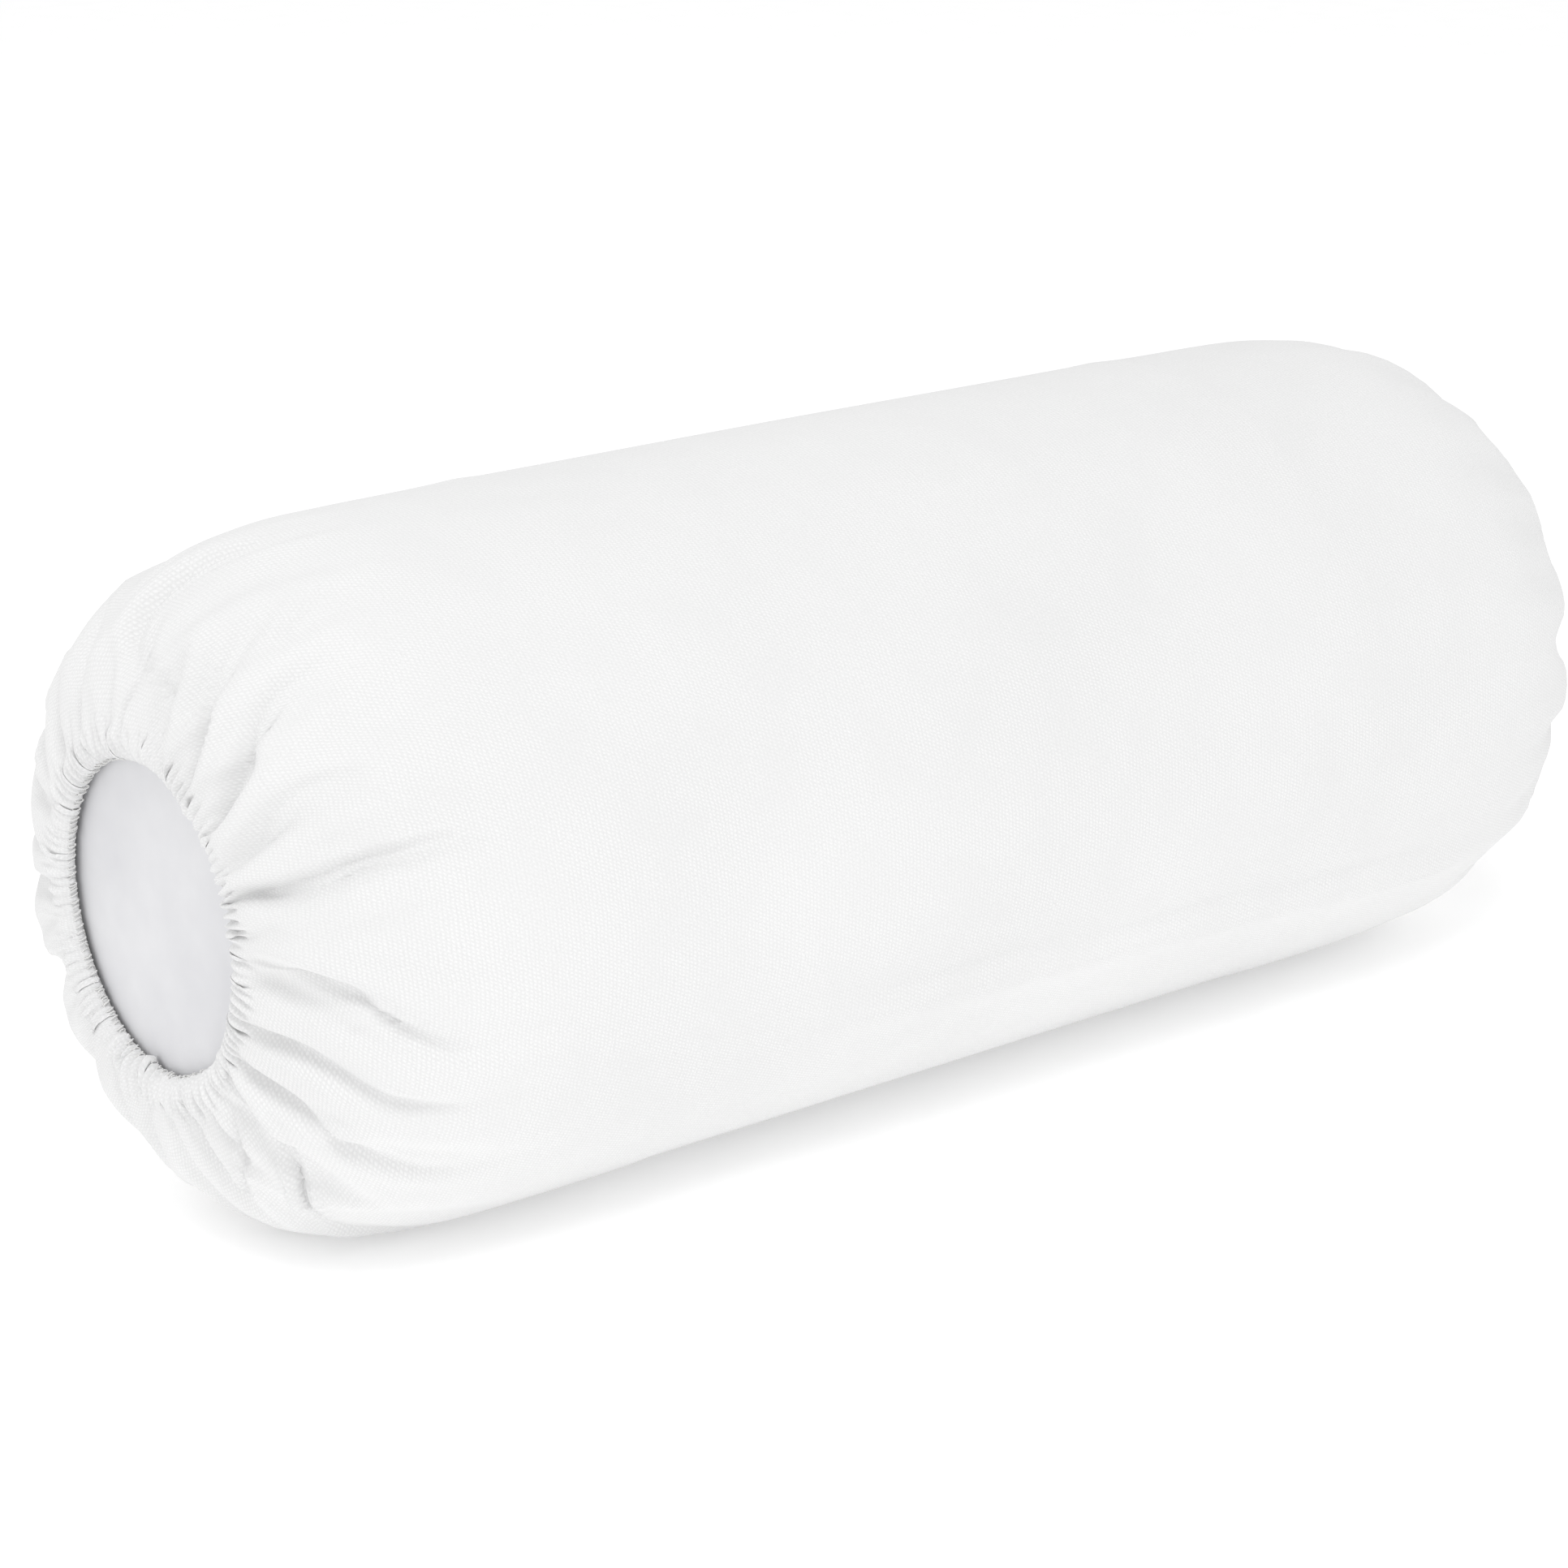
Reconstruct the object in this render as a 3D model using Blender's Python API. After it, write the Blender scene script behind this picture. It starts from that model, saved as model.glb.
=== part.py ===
"""Bolster pillow: a soft round massage bolster in a cotton cover gathered at both ends.

All lengths are in metres. The bolster lies along X with its middle at X = 0, the near end at -X,
and rests on Z = 0 with its underside pressed flat by its own weight.

Shells are turned about the bolster's axis from half profiles. A profile point is (inset, radius):
how far it lies in from the cover's end, and how far out from the axis.
"""

import math

import bmesh
import bpy
from mathutils import Matrix, Vector

# ---------------------------------------------------------------- overall sizes
COVER_LENGTH = 0.610  # over the two gathered ends
COVER_RADIUS = 0.125  # the barrel, outside the cloth
SETTLE = 0.005  # how far the underside is pressed in by the bolster's weight
CLEARANCE = 0.0003  # between pieces that touch

# ---------------------------------------------------------------- cover
CLOTH_THICKNESS = 0.0012  # brushed cotton with its nap
SHOULDER_LENGTH = 0.092  # along X, from the end to the full barrel
SHOULDER_POWER = 2.2  # superellipse exponent of the shoulder: 2 is an ellipse
MOUTH_RADIUS = 0.0538  # clear opening in each gathered end
HEM_WIDTH = 0.007  # ruched band round the mouth, measured along the radius
HEM_INSET = 0.0045  # the hem's edge turns in this far from the end
GATHER_DEPTH = 0.007  # depth of the bunched cloth at the mouth
OVERLOCK_RADIUS = 0.0007  # thread bundle that wraps the raw edge
ELASTIC_WIDTH = 0.006
ELASTIC_THICKNESS = 0.0008
ELASTIC_GAP = 0.0009  # behind the elastic, where the gathers stand off the casing
SEAM_WIDTH = 0.005  # overlocked lengthwise seam, pressed flat
SEAM_THICKNESS = 0.0004

# ---------------------------------------------------------------- casing
CASING_THICKNESS = 0.0012  # coated fabric
SEAM_COVERED = 0.0135  # the end seam lies this far outside the cover's furthest ring
SEAM_THREAD_RADIUS = 0.0005

# ---------------------------------------------------------------- zip in the casing
ZIP_MARGIN = 0.030  # from the start of a shoulder to the end of the slot
ZIP_DROP = math.radians(27.0)  # the zip lies this far below the middle of the rear side
SLOT_WIDTH = 0.014
TAPE_WIDTH = 0.015
TAPE_THICKNESS = 0.0006
TAPE_TAIL = 0.010  # tape past each end of the slot
CHAIN_GAP = 0.0016  # between the two tapes, for the slider's post
COIL_WIDTH = 0.0016
COIL_HEIGHT = 0.0011
STOP_LENGTH = 0.003
SLIDER_LENGTH = 0.011
SLIDER_POST = 0.0010
SLIDER_PLATE = 0.0007
SLIDER_FLANGE = 0.0008

# ---------------------------------------------------------------- filling
WRAP_THICKNESS = 0.006  # polyester wadding round the foam

# ---------------------------------------------------------------- how finely round pieces are cut
SEGMENTS = 40  # flats round the bolster, one of them straight down
SHOULDER_STEPS = 6
HEM_STEPS = 3
THREAD_SIDES = 5
FLAT_TOLERANCE = 1e-6

# ---------------------------------------------------------------- worked out from the sizes above
HALF_LENGTH = COVER_LENGTH / 2
AXIS_HEIGHT = COVER_RADIUS - SETTLE
FLAT_TURN = math.pi / SEGMENTS  # half of one flat, seen from the axis
EDGE_RADIUS = MOUTH_RADIUS + 2 * OVERLOCK_RADIUS + CLEARANCE
END_RADIUS = EDGE_RADIUS + HEM_WIDTH  # where the cover's end is furthest out
COVER_EASE = SEAM_THICKNESS + 2 * CLEARANCE  # between cover and casing, for the seam
CASING_RADIUS = COVER_RADIUS - CLOTH_THICKNESS - COVER_EASE
BARREL_HALF = HALF_LENGTH - SHOULDER_LENGTH
SLOT_HALF = BARREL_HALF - ZIP_MARGIN


def clear_scene():
    """Remove whatever the file holds."""
    for obj in list(bpy.data.objects):
        bpy.data.objects.remove(obj, do_unlink=True)


def material(name, colour, roughness, metallic=0.0):
    """A Principled material of one colour."""
    made = bpy.data.materials.new(name)
    made.use_nodes = True
    shader = made.node_tree.nodes["Principled BSDF"]
    shader.inputs["Base Color"].default_value = (*colour, 1.0)
    shader.inputs["Roughness"].default_value = roughness
    shader.inputs["Metallic"].default_value = metallic
    return made


def add_object(name, mesh_tool, finish, parent, smooth=True):
    """Turn a bmesh into a named object under its parent."""
    bmesh.ops.recalc_face_normals(mesh_tool, faces=mesh_tool.faces)
    mesh = bpy.data.meshes.new(name)
    mesh_tool.to_mesh(mesh)
    mesh_tool.free()
    mesh.materials.append(finish)
    if smooth:
        mesh.shade_smooth()
        mesh.set_sharp_from_angle(angle=math.radians(40))
    obj = bpy.data.objects.new(name, mesh)
    bpy.context.scene.collection.objects.link(obj)
    obj.parent = parent
    return obj


def add_empty(name, place, parent=None, turn=None):
    """An empty that carries pieces."""
    empty = bpy.data.objects.new(name, None)
    bpy.context.scene.collection.objects.link(empty)
    empty.parent = parent
    empty.location = place
    if turn is not None:
        empty.rotation_euler = turn
    return empty


# ---------------------------------------------------------------- profiles and turning
def shoulder(depth, radius, start_angle=0.0):
    """Points of a shoulder, from its end out to the full radius.

    Every shell's shoulder is a superellipse about the same centre, so that one nests in another.
    """
    points = []
    for step in range(SHOULDER_STEPS + 1):
        angle = start_angle + (math.pi / 2 - start_angle) * step / SHOULDER_STEPS
        along = math.cos(angle) ** (2 / SHOULDER_POWER) if step < SHOULDER_STEPS else 0.0
        out = math.sin(angle) ** (2 / SHOULDER_POWER)
        inset = SHOULDER_LENGTH - (SHOULDER_LENGTH - depth) * along
        points.append((inset, END_RADIUS + (radius - END_RADIUS) * out))
    return points


# The casing's shoulder starts at its end seam, at this angle of the shoulder curve, which also
# says how far in the casing's flat end lies.
SEAM_SHARE = SEAM_COVERED / (CASING_RADIUS - END_RADIUS)
SEAM_ANGLE = math.asin(SEAM_SHARE ** (SHOULDER_POWER / 2))
CASING_DEPTH = GATHER_DEPTH + ELASTIC_THICKNESS + 2 * CLEARANCE + ELASTIC_GAP
DISC_INSET = shoulder(CASING_DEPTH, CASING_RADIUS, SEAM_ANGLE)[0][0]
WRAP_DEPTH = CASING_DEPTH + CASING_THICKNESS + CLEARANCE
WRAP_RADIUS = CASING_RADIUS - CASING_THICKNESS - CLEARANCE
CORE_DEPTH = WRAP_DEPTH + WRAP_THICKNESS + CLEARANCE
CORE_RADIUS = WRAP_RADIUS - WRAP_THICKNESS - CLEARANCE


def hem():
    """Outer face of the rolled hem, from the cloth's edge to where the end is furthest out."""
    points = []
    for step in range(HEM_STEPS):
        angle = math.pi / 2 * step / HEM_STEPS
        points.append(
            (HEM_INSET * (1 - math.sin(angle)), END_RADIUS - HEM_WIDTH * math.cos(angle))
        )
    return points


def both_ends(near_profile):
    """Place a near half profile at -X, and its mirror image at +X after it, as (x, radius)."""
    near = [(inset - HALF_LENGTH, radius) for inset, radius in near_profile]
    return near + [(-x, radius) for x, radius in reversed(near)]


def spin_profile(made, points, closed):
    """Spin (x, radius) points about X into a bmesh, and return the new geometry."""
    before = set(made.verts)
    verts = [made.verts.new((x, 0.0, -radius)) for x, radius in points]
    edges = [made.edges.new(pair) for pair in zip(verts, verts[1:])]
    if closed:
        edges.append(made.edges.new((verts[-1], verts[0])))
    half_flat = Matrix.Rotation(FLAT_TURN, 3, "X")
    bmesh.ops.rotate(made, verts=verts, cent=(0, 0, 0), matrix=half_flat)
    bmesh.ops.spin(
        made,
        geom=verts + edges,
        cent=(0, 0, 0),
        axis=(1, 0, 0),
        angle=2 * math.pi,
        steps=SEGMENTS,
        use_merge=True,
    )
    new_verts = [vert for vert in made.verts if vert not in before]
    new_edges = list({edge for vert in new_verts for edge in vert.link_edges})
    new_faces = list({face for vert in new_verts for face in vert.link_faces})
    return new_verts + new_edges + new_faces


def turn(points, closed=True):
    """A solid of revolution. A profile that isn't closed is capped at both ends."""
    made = bmesh.new()
    spin_profile(made, points, closed)
    if not closed:
        cap_rims(made)
    return made


def cap_rims(made):
    """Fill each open rim with one flat face."""
    rims = [edge for edge in made.edges if edge.is_boundary]
    bmesh.ops.holes_fill(made, edges=rims, sides=0)


def settled_surface(made, points, radius):
    """Spin an open surface of this barrel radius, and press its underside flat."""
    floor = SETTLE - radius
    geometry = spin_profile(made, points, closed=False)
    bmesh.ops.bisect_plane(
        made,
        geom=geometry,
        dist=FLAT_TOLERANCE,
        plane_co=(0, 0, floor),
        plane_no=(0, 0, -1),
        clear_outer=True,
    )
    cut_edges = [
        edge
        for edge in made.edges
        if edge.is_boundary
        and all(abs(vert.co.z - floor) < 2 * FLAT_TOLERANCE for vert in edge.verts)
    ]
    bmesh.ops.contextual_create(made, geom=cut_edges)


def settled_solid(points, radius):
    """A filled solid with a flat underside and flat ends."""
    made = bmesh.new()
    settled_surface(made, points, radius)
    cap_rims(made)
    return made


def settled_shell(outer, outer_radius, inner, inner_radius):
    """A shell between two turned surfaces, open at both ends, with a flat underside."""
    made = bmesh.new()
    settled_surface(made, outer, outer_radius)
    settled_surface(made, inner, inner_radius)
    rims = [edge for edge in made.edges if edge.is_boundary]
    for side in (-1, 1):
        lips = [edge for edge in rims if edge.verts[0].co.x * side > 0]
        bmesh.ops.bridge_loops(made, edges=lips)
    return made


def ring(x, radius, thickness_radius):
    """A thin round ring about the axis."""
    points = []
    for side in range(THREAD_SIDES):
        angle = 2 * math.pi * side / THREAD_SIDES
        points.append(
            (x + thickness_radius * math.sin(angle), radius + thickness_radius * math.cos(angle))
        )
    return turn(points)


def block(low, high):
    """A box between two corners."""
    made = bmesh.new()
    bmesh.ops.create_cube(made, size=1.0)
    low, high = Vector(low), Vector(high)
    size = high - low
    bmesh.ops.scale(made, vec=size, verts=made.verts)
    bmesh.ops.translate(made, vec=(low + high) / 2, verts=made.verts)
    return made


# ---------------------------------------------------------------- cover
def cover_panel(parent):
    """One cloth tube, gathered into a rolled hem round a mouth at each end."""
    cloth = material("brushed_cotton_white", (0.90, 0.90, 0.90), 0.95)
    inner_radius = COVER_RADIUS - CLOTH_THICKNESS
    outer = both_ends(hem() + shoulder(0.0, COVER_RADIUS))
    inner = both_ends([(GATHER_DEPTH, EDGE_RADIUS)] + shoulder(GATHER_DEPTH, inner_radius))
    tube = settled_shell(outer, COVER_RADIUS, inner, inner_radius)
    add_object("cover_panel", tube, cloth, parent)


def cover_ends(parent):
    """Overlocked edge and elastic of each mouth."""
    thread = material("polyester_overlock_thread_white", (0.86, 0.86, 0.85), 0.6)
    band = material("knitted_elastic_white", (0.82, 0.82, 0.80), 0.8)
    edge_inset = (HEM_INSET + GATHER_DEPTH) / 2
    for end, side in (("near", -1), ("far", 1)):
        x = side * (HALF_LENGTH - edge_inset)
        overlock = ring(x, MOUTH_RADIUS + OVERLOCK_RADIUS, OVERLOCK_RADIUS)
        add_object(f"cover_hem_overlock_{end}", overlock, thread, parent)

        front = side * (HALF_LENGTH - GATHER_DEPTH - CLEARANCE)
        back = front - side * ELASTIC_THICKNESS
        inside, outside = EDGE_RADIUS, EDGE_RADIUS + ELASTIC_WIDTH
        flat = turn([(front, inside), (front, outside), (back, outside), (back, inside)])
        add_object(f"cover_elastic_{end}", flat, band, parent)


def cover_seam(parent):
    """The overlocked seam that closes the cloth into a tube, flat under the bolster."""
    thread = material("cotton_seam_white", (0.84, 0.84, 0.83), 0.8)
    bottom = CLOTH_THICKNESS + CLEARANCE - AXIS_HEIGHT
    strip = block(
        (-BARREL_HALF, -SEAM_WIDTH / 2, bottom),
        (BARREL_HALF, SEAM_WIDTH / 2, bottom + SEAM_THICKNESS),
    )
    add_object("cover_seam_overlock", strip, thread, parent, smooth=False)


# ---------------------------------------------------------------- casing
def slot_cutter(parent, name, low, high):
    """A hidden box that cuts a slot, in the zip's own axes."""
    made = block(low, high)
    cutter = add_object(name, made, material(name, (1, 0, 0), 1.0), parent, smooth=False)
    cutter.hide_render = True
    cutter.display_type = "WIRE"
    return cutter


def cut(obj, cutter):
    """Subtract a cutter from an object."""
    boolean = obj.modifiers.new("slot", "BOOLEAN")
    boolean.operation = "DIFFERENCE"
    boolean.solver = "EXACT"
    boolean.object = cutter


def casing_barrel(parent, zip_line):
    """Coated fabric round the filling, with rounded shoulders and a slot for the zip."""
    vinyl = material("coated_fabric_pale_grey", (0.80, 0.80, 0.80), 0.5)
    inner_radius = CASING_RADIUS - CASING_THICKNESS
    outer = both_ends(shoulder(CASING_DEPTH, CASING_RADIUS, SEAM_ANGLE))
    inner = both_ends(shoulder(CASING_DEPTH + CASING_THICKNESS, inner_radius, SEAM_ANGLE))
    tube = settled_shell(outer, CASING_RADIUS, inner, inner_radius)
    barrel = add_object("casing_barrel", tube, vinyl, parent)
    reach = 2 * CASING_THICKNESS
    cutter = slot_cutter(
        zip_line,
        "casing_slot_cutter",
        (-SLOT_HALF, -SLOT_WIDTH / 2, CASING_RADIUS - 2 * reach),
        (SLOT_HALF, SLOT_WIDTH / 2, CASING_RADIUS + reach),
    )
    cut(barrel, cutter)


def disc_radius():
    """Radius of the casing's flat ends, which leaves the barrel's lip room for the seam."""
    lip = shoulder(
        CASING_DEPTH + CASING_THICKNESS, CASING_RADIUS - CASING_THICKNESS, SEAM_ANGLE
    )[0][1]
    return lip - 2 * CLEARANCE - 2 * SEAM_THREAD_RADIUS


def casing_ends(parent):
    """The flat ends, and the stitched seam that joins each to the barrel."""
    vinyl = material("coated_fabric_end_pale_grey", (0.76, 0.76, 0.765), 0.5)
    thread = material("bonded_thread_grey", (0.62, 0.62, 0.62), 0.6)
    radius = disc_radius()
    for end, side in (("near", -1), ("far", 1)):
        front = side * (HALF_LENGTH - DISC_INSET)
        back = front - side * CASING_THICKNESS
        disc = turn([(front, radius), (back, radius)], closed=False)
        add_object(f"casing_end_{end}", disc, vinyl, parent)
        seam = ring(
            (front + back) / 2, radius + CLEARANCE + SEAM_THREAD_RADIUS, SEAM_THREAD_RADIUS
        )
        add_object(f"casing_end_seam_{end}", seam, thread, parent)


# ---------------------------------------------------------------- zip, along X with Z out of the casing
def flat_height(radius, half_width):
    """Height above the axis of a turned shell of this radius, at half_width to the side."""
    apothem = radius * math.cos(FLAT_TURN)
    heights = []
    for flat in range(4):
        angle = 2 * FLAT_TURN * flat
        heights.append((apothem - half_width * math.sin(angle)) / math.cos(angle))
    return min(heights)


TAPE_EDGE = CHAIN_GAP / 2 + TAPE_WIDTH
TAPE_TOP = flat_height(CASING_RADIUS - CASING_THICKNESS, TAPE_EDGE) - CLEARANCE
TAPE_BOTTOM = TAPE_TOP - TAPE_THICKNESS
COIL_TOP = TAPE_TOP + CLEARANCE + COIL_HEIGHT
SLIDER_BOTTOM = TAPE_BOTTOM - CLEARANCE - SLIDER_PLATE
SLIDER_TOP = COIL_TOP + CLEARANCE + SLIDER_PLATE
SLIDER_CLOSED = SLOT_HALF - STOP_LENGTH - 3 * CLEARANCE - SLIDER_LENGTH / 2


def zip_chain(zip_line):
    """The two tapes with their coils, and a stop at each end."""
    fabric = material("zip_tape_grey", (0.60, 0.60, 0.61), 0.9)
    nylon = material("nylon_coil_grey", (0.55, 0.55, 0.56), 0.4)
    metal = material("zinc_stop", (0.70, 0.70, 0.70), 0.35, 1.0)
    tape_half = SLOT_HALF + TAPE_TAIL
    coil_half = SLOT_HALF - STOP_LENGTH - 2 * CLEARANCE
    for name, side in (("upper", -1), ("lower", 1)):
        inner, outer = side * CHAIN_GAP / 2, side * TAPE_EDGE
        tape = block(
            (-tape_half, min(inner, outer), TAPE_BOTTOM), (tape_half, max(inner, outer), TAPE_TOP)
        )
        add_object(f"zip_tape_{name}", tape, fabric, zip_line, smooth=False)
        outer = inner + side * COIL_WIDTH
        coil = block(
            (-coil_half, min(inner, outer), TAPE_TOP + CLEARANCE),
            (coil_half, max(inner, outer), COIL_TOP),
        )
        add_object(f"zip_coil_{name}", coil, nylon, zip_line, smooth=False)
    stop_half_width = CHAIN_GAP / 2 + COIL_WIDTH
    for name, side in (("top", 1), ("bottom", -1)):
        outer, inner = side * (SLOT_HALF - CLEARANCE), side * (SLOT_HALF - STOP_LENGTH)
        stop = block(
            (min(inner, outer), -stop_half_width, TAPE_TOP + CLEARANCE),
            (max(inner, outer), stop_half_width, COIL_TOP),
        )
        add_object(f"zip_{name}_stop", stop, metal, zip_line, smooth=False)


def zip_slider(zip_line):
    """The locking slider: two plates joined by a post that runs between the tapes."""
    metal = material("zinc_slider", (0.70, 0.70, 0.70), 0.3, 1.0)
    half_post = SLIDER_POST / 2
    flange_in = CHAIN_GAP / 2 + COIL_WIDTH + CLEARANCE
    flange_out = flange_in + SLIDER_FLANGE
    above_tape = TAPE_TOP + 2 * CLEARANCE
    plate_under = TAPE_BOTTOM - CLEARANCE
    right_side = [
        (half_post, plate_under),
        (half_post, COIL_TOP + CLEARANCE),
        (flange_in, COIL_TOP + CLEARANCE),
        (flange_in, above_tape),
        (flange_out, above_tape),
        (flange_out, SLIDER_TOP),
    ]
    outline = [(flange_out, SLIDER_BOTTOM), (flange_out, plate_under), *right_side]
    outline += [(-y, z) for y, z in reversed(outline)]
    made = bmesh.new()
    face = made.faces.new(
        [made.verts.new((-SLIDER_LENGTH / 2, y, z - SLIDER_TOP)) for y, z in outline]
    )
    swept = bmesh.ops.extrude_face_region(made, geom=[face])["geom"]
    new_verts = [item for item in swept if isinstance(item, bmesh.types.BMVert)]
    bmesh.ops.translate(made, vec=(SLIDER_LENGTH, 0, 0), verts=new_verts)
    slider = add_object("zip_slider", made, metal, zip_line, smooth=False)
    slider.location = (SLIDER_CLOSED, 0, SLIDER_TOP)


# ---------------------------------------------------------------- filling
def fibre_wrap(parent, zip_line):
    """Wadding rolled round the foam and tucked over its shoulders, hollowed under the zip."""
    fibre = material("polyester_wadding", (0.92, 0.92, 0.92), 1.0)
    inner_radius = WRAP_RADIUS - WRAP_THICKNESS
    outer = both_ends(shoulder(WRAP_DEPTH, WRAP_RADIUS, SEAM_ANGLE))
    inner = both_ends(shoulder(WRAP_DEPTH + WRAP_THICKNESS, inner_radius, SEAM_ANGLE))
    tube = settled_shell(outer, WRAP_RADIUS, inner, inner_radius)
    wrap = add_object("fibre_wrap", tube, fibre, parent)
    cutter = slot_cutter(
        zip_line,
        "wrap_hollow_cutter",
        (-SLOT_HALF - TAPE_TAIL - CLEARANCE, -TAPE_EDGE - CLEARANCE, SLIDER_BOTTOM - CLEARANCE),
        (SLOT_HALF + TAPE_TAIL + CLEARANCE, TAPE_EDGE + CLEARANCE, COVER_RADIUS),
    )
    cut(wrap, cutter)


def core_end_inset():
    """How far the foam's flat end lies in from the cover's end."""
    return shoulder(CORE_DEPTH, CORE_RADIUS, SEAM_ANGLE)[0][0]


def foam_core(parent):
    """The foam cylinder, with rounded shoulders and flat ends."""
    foam = material("polyurethane_foam_cream", (0.86, 0.80, 0.62), 1.0)
    outline = both_ends(shoulder(CORE_DEPTH, CORE_RADIUS, SEAM_ANGLE))
    add_object("foam_core", settled_solid(outline, CORE_RADIUS), foam, parent)


def fibre_pads(parent):
    """A round pad of wadding between the foam and each flat end of the casing."""
    fibre = material("polyester_pad", (0.92, 0.92, 0.92), 1.0)
    radius = shoulder(
        WRAP_DEPTH + WRAP_THICKNESS, WRAP_RADIUS - WRAP_THICKNESS, SEAM_ANGLE
    )[0][1] - CLEARANCE
    for end, side in (("near", -1), ("far", 1)):
        front = side * (HALF_LENGTH - DISC_INSET - CASING_THICKNESS - CLEARANCE)
        back = side * (HALF_LENGTH - core_end_inset() + CLEARANCE)
        pad = turn([(front, radius), (back, radius)], closed=False)
        add_object(f"fibre_pad_{end}", pad, fibre, parent)


def main():
    clear_scene()
    bolster = add_empty("bolster", (0, 0, AXIS_HEIGHT))
    cover = add_empty("cover_off", (0, 0, AXIS_HEIGHT))
    zip_line = add_empty(
        "zip_line", (0, 0, 0), parent=bolster, turn=(-math.pi / 2 - ZIP_DROP, 0, 0)
    )
    cover_panel(cover)
    cover_ends(cover)
    cover_seam(cover)
    casing_barrel(bolster, zip_line)
    casing_ends(bolster)
    zip_chain(zip_line)
    zip_slider(zip_line)
    fibre_wrap(bolster, zip_line)
    fibre_pads(bolster)
    foam_core(bolster)


main()
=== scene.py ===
"""Looks of a bolster pillow: a gathered cotton cover drawn over a zipped, padded casing.

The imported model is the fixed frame. Lengths are in metres. X runs along the bolster, Z is up, and
angles round the axis are counted from straight down towards the rear, which is +Y.
"""

import logging
import math
from collections.abc import Callable, Iterable, Sequence
from dataclasses import dataclass, field
from enum import Enum

import bmesh
import bpy
import numpy as np
from mathutils import Matrix, Vector


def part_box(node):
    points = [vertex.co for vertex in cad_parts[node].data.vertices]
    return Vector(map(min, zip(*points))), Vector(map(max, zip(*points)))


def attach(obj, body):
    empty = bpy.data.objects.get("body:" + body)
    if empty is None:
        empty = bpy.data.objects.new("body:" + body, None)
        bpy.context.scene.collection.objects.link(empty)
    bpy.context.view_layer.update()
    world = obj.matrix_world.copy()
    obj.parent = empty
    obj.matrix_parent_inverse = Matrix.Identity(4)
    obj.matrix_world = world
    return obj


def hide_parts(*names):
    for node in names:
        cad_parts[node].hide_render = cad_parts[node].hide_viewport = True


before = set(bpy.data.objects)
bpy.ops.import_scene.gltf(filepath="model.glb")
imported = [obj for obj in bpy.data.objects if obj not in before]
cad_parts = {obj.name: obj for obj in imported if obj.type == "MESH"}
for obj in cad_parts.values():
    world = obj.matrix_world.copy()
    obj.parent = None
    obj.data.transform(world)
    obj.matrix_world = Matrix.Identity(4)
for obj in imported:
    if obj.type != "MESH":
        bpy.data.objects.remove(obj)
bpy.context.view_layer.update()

LOG = logging.getLogger("bolster")
MM = 0.001
FULL_TURN = 2 * math.pi

# Sizes shared with the frame.
HALF_LENGTH = 0.305
AXIS_HEIGHT = 0.120
COVER_RADIUS = 0.125
END_RADIUS = 0.0625
EDGE_RADIUS = 0.0555
HEM_INSET = 0.0045
SHOULDER_LENGTH = 0.092
SHOULDER_POWER = 2.2
CASING_RADIUS = 0.1228
CASING_DEPTH = 0.0093
CASING_FLOOR = -0.1178
ZIP_ANGLE = math.radians(63.0)
SLOT_HALF_LENGTH = 0.183
SLOT_HALF_WIDTH = 0.007

WELD = 1e-6  # points closer than this are one point
SHARP_EDGE = math.radians(50)
CLOTH_UV = "cloth"
WAVE_SCALE = 0.314  # at this scale a wave texture's bands lie 1 m apart


class Body(Enum):
    """The bodies of the frame that a piece can ride on."""

    BOLSTER = "bolster"
    COVER = "cover"
    SLIDER = "zip_slider"


class Side(Enum):
    """The two ends, by the sign of X."""

    NEAR = -1
    FAR = 1

    @property
    def label(self) -> str:
        """The end's name as the pieces use it."""
        return self.name.lower()


# ---------------------------------------------------------------- small tools
def linear(hex_colour: str) -> tuple[float, float, float, float]:
    """Turn an sRGB hex colour into the linear values that a shader takes.

    Args:
        hex_colour: six hex digits, such as "F2F2F0".

    Returns:
        Red, green, blue and alpha.
    """
    channels = []
    for start in (0, 2, 4):
        value = int(hex_colour[start : start + 2], 16) / 255
        channels.append(value / 12.92 if value <= 0.04045 else ((value + 0.055) / 1.055) ** 2.4)
    return (channels[0], channels[1], channels[2], 1.0)


def add_node(
    tree: bpy.types.NodeTree,
    kind: str,
    settings: dict[str | int, object] | None = None,
    links: dict[str | int, bpy.types.NodeSocket] | None = None,
) -> bpy.types.Node:
    """Add a node with its settings and links.

    Args:
        tree: the node tree that gets it.
        kind: the node's type, without the "ShaderNode" in front.
        settings: values for its properties, and for its inputs by name or number.
        links: sockets that feed its inputs, by name or number.

    Returns:
        The new node.
    """
    node = tree.nodes.new("ShaderNode" + kind)
    for name, value in (settings or {}).items():
        if isinstance(name, str) and name not in node.inputs:
            setattr(node, name, value)
        else:
            node.inputs[name].default_value = value
    for name, socket in (links or {}).items():
        tree.links.new(socket, node.inputs[name])
    return node


def smoothstep(low: float, high: float, value: np.ndarray) -> np.ndarray:
    """Ease from 0 at low to 1 at high.

    Args:
        low: where the ease starts.
        high: where it ends.
        value: the values to ease.

    Returns:
        The eased values.
    """
    share = np.clip((value - low) / (high - low), 0.0, 1.0)
    return share * share * (3 - 2 * share)


def wrapped(angle: np.ndarray) -> np.ndarray:
    """Bring angles into the half turn either side of 0."""
    return (angle + math.pi) % FULL_TURN - math.pi


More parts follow.
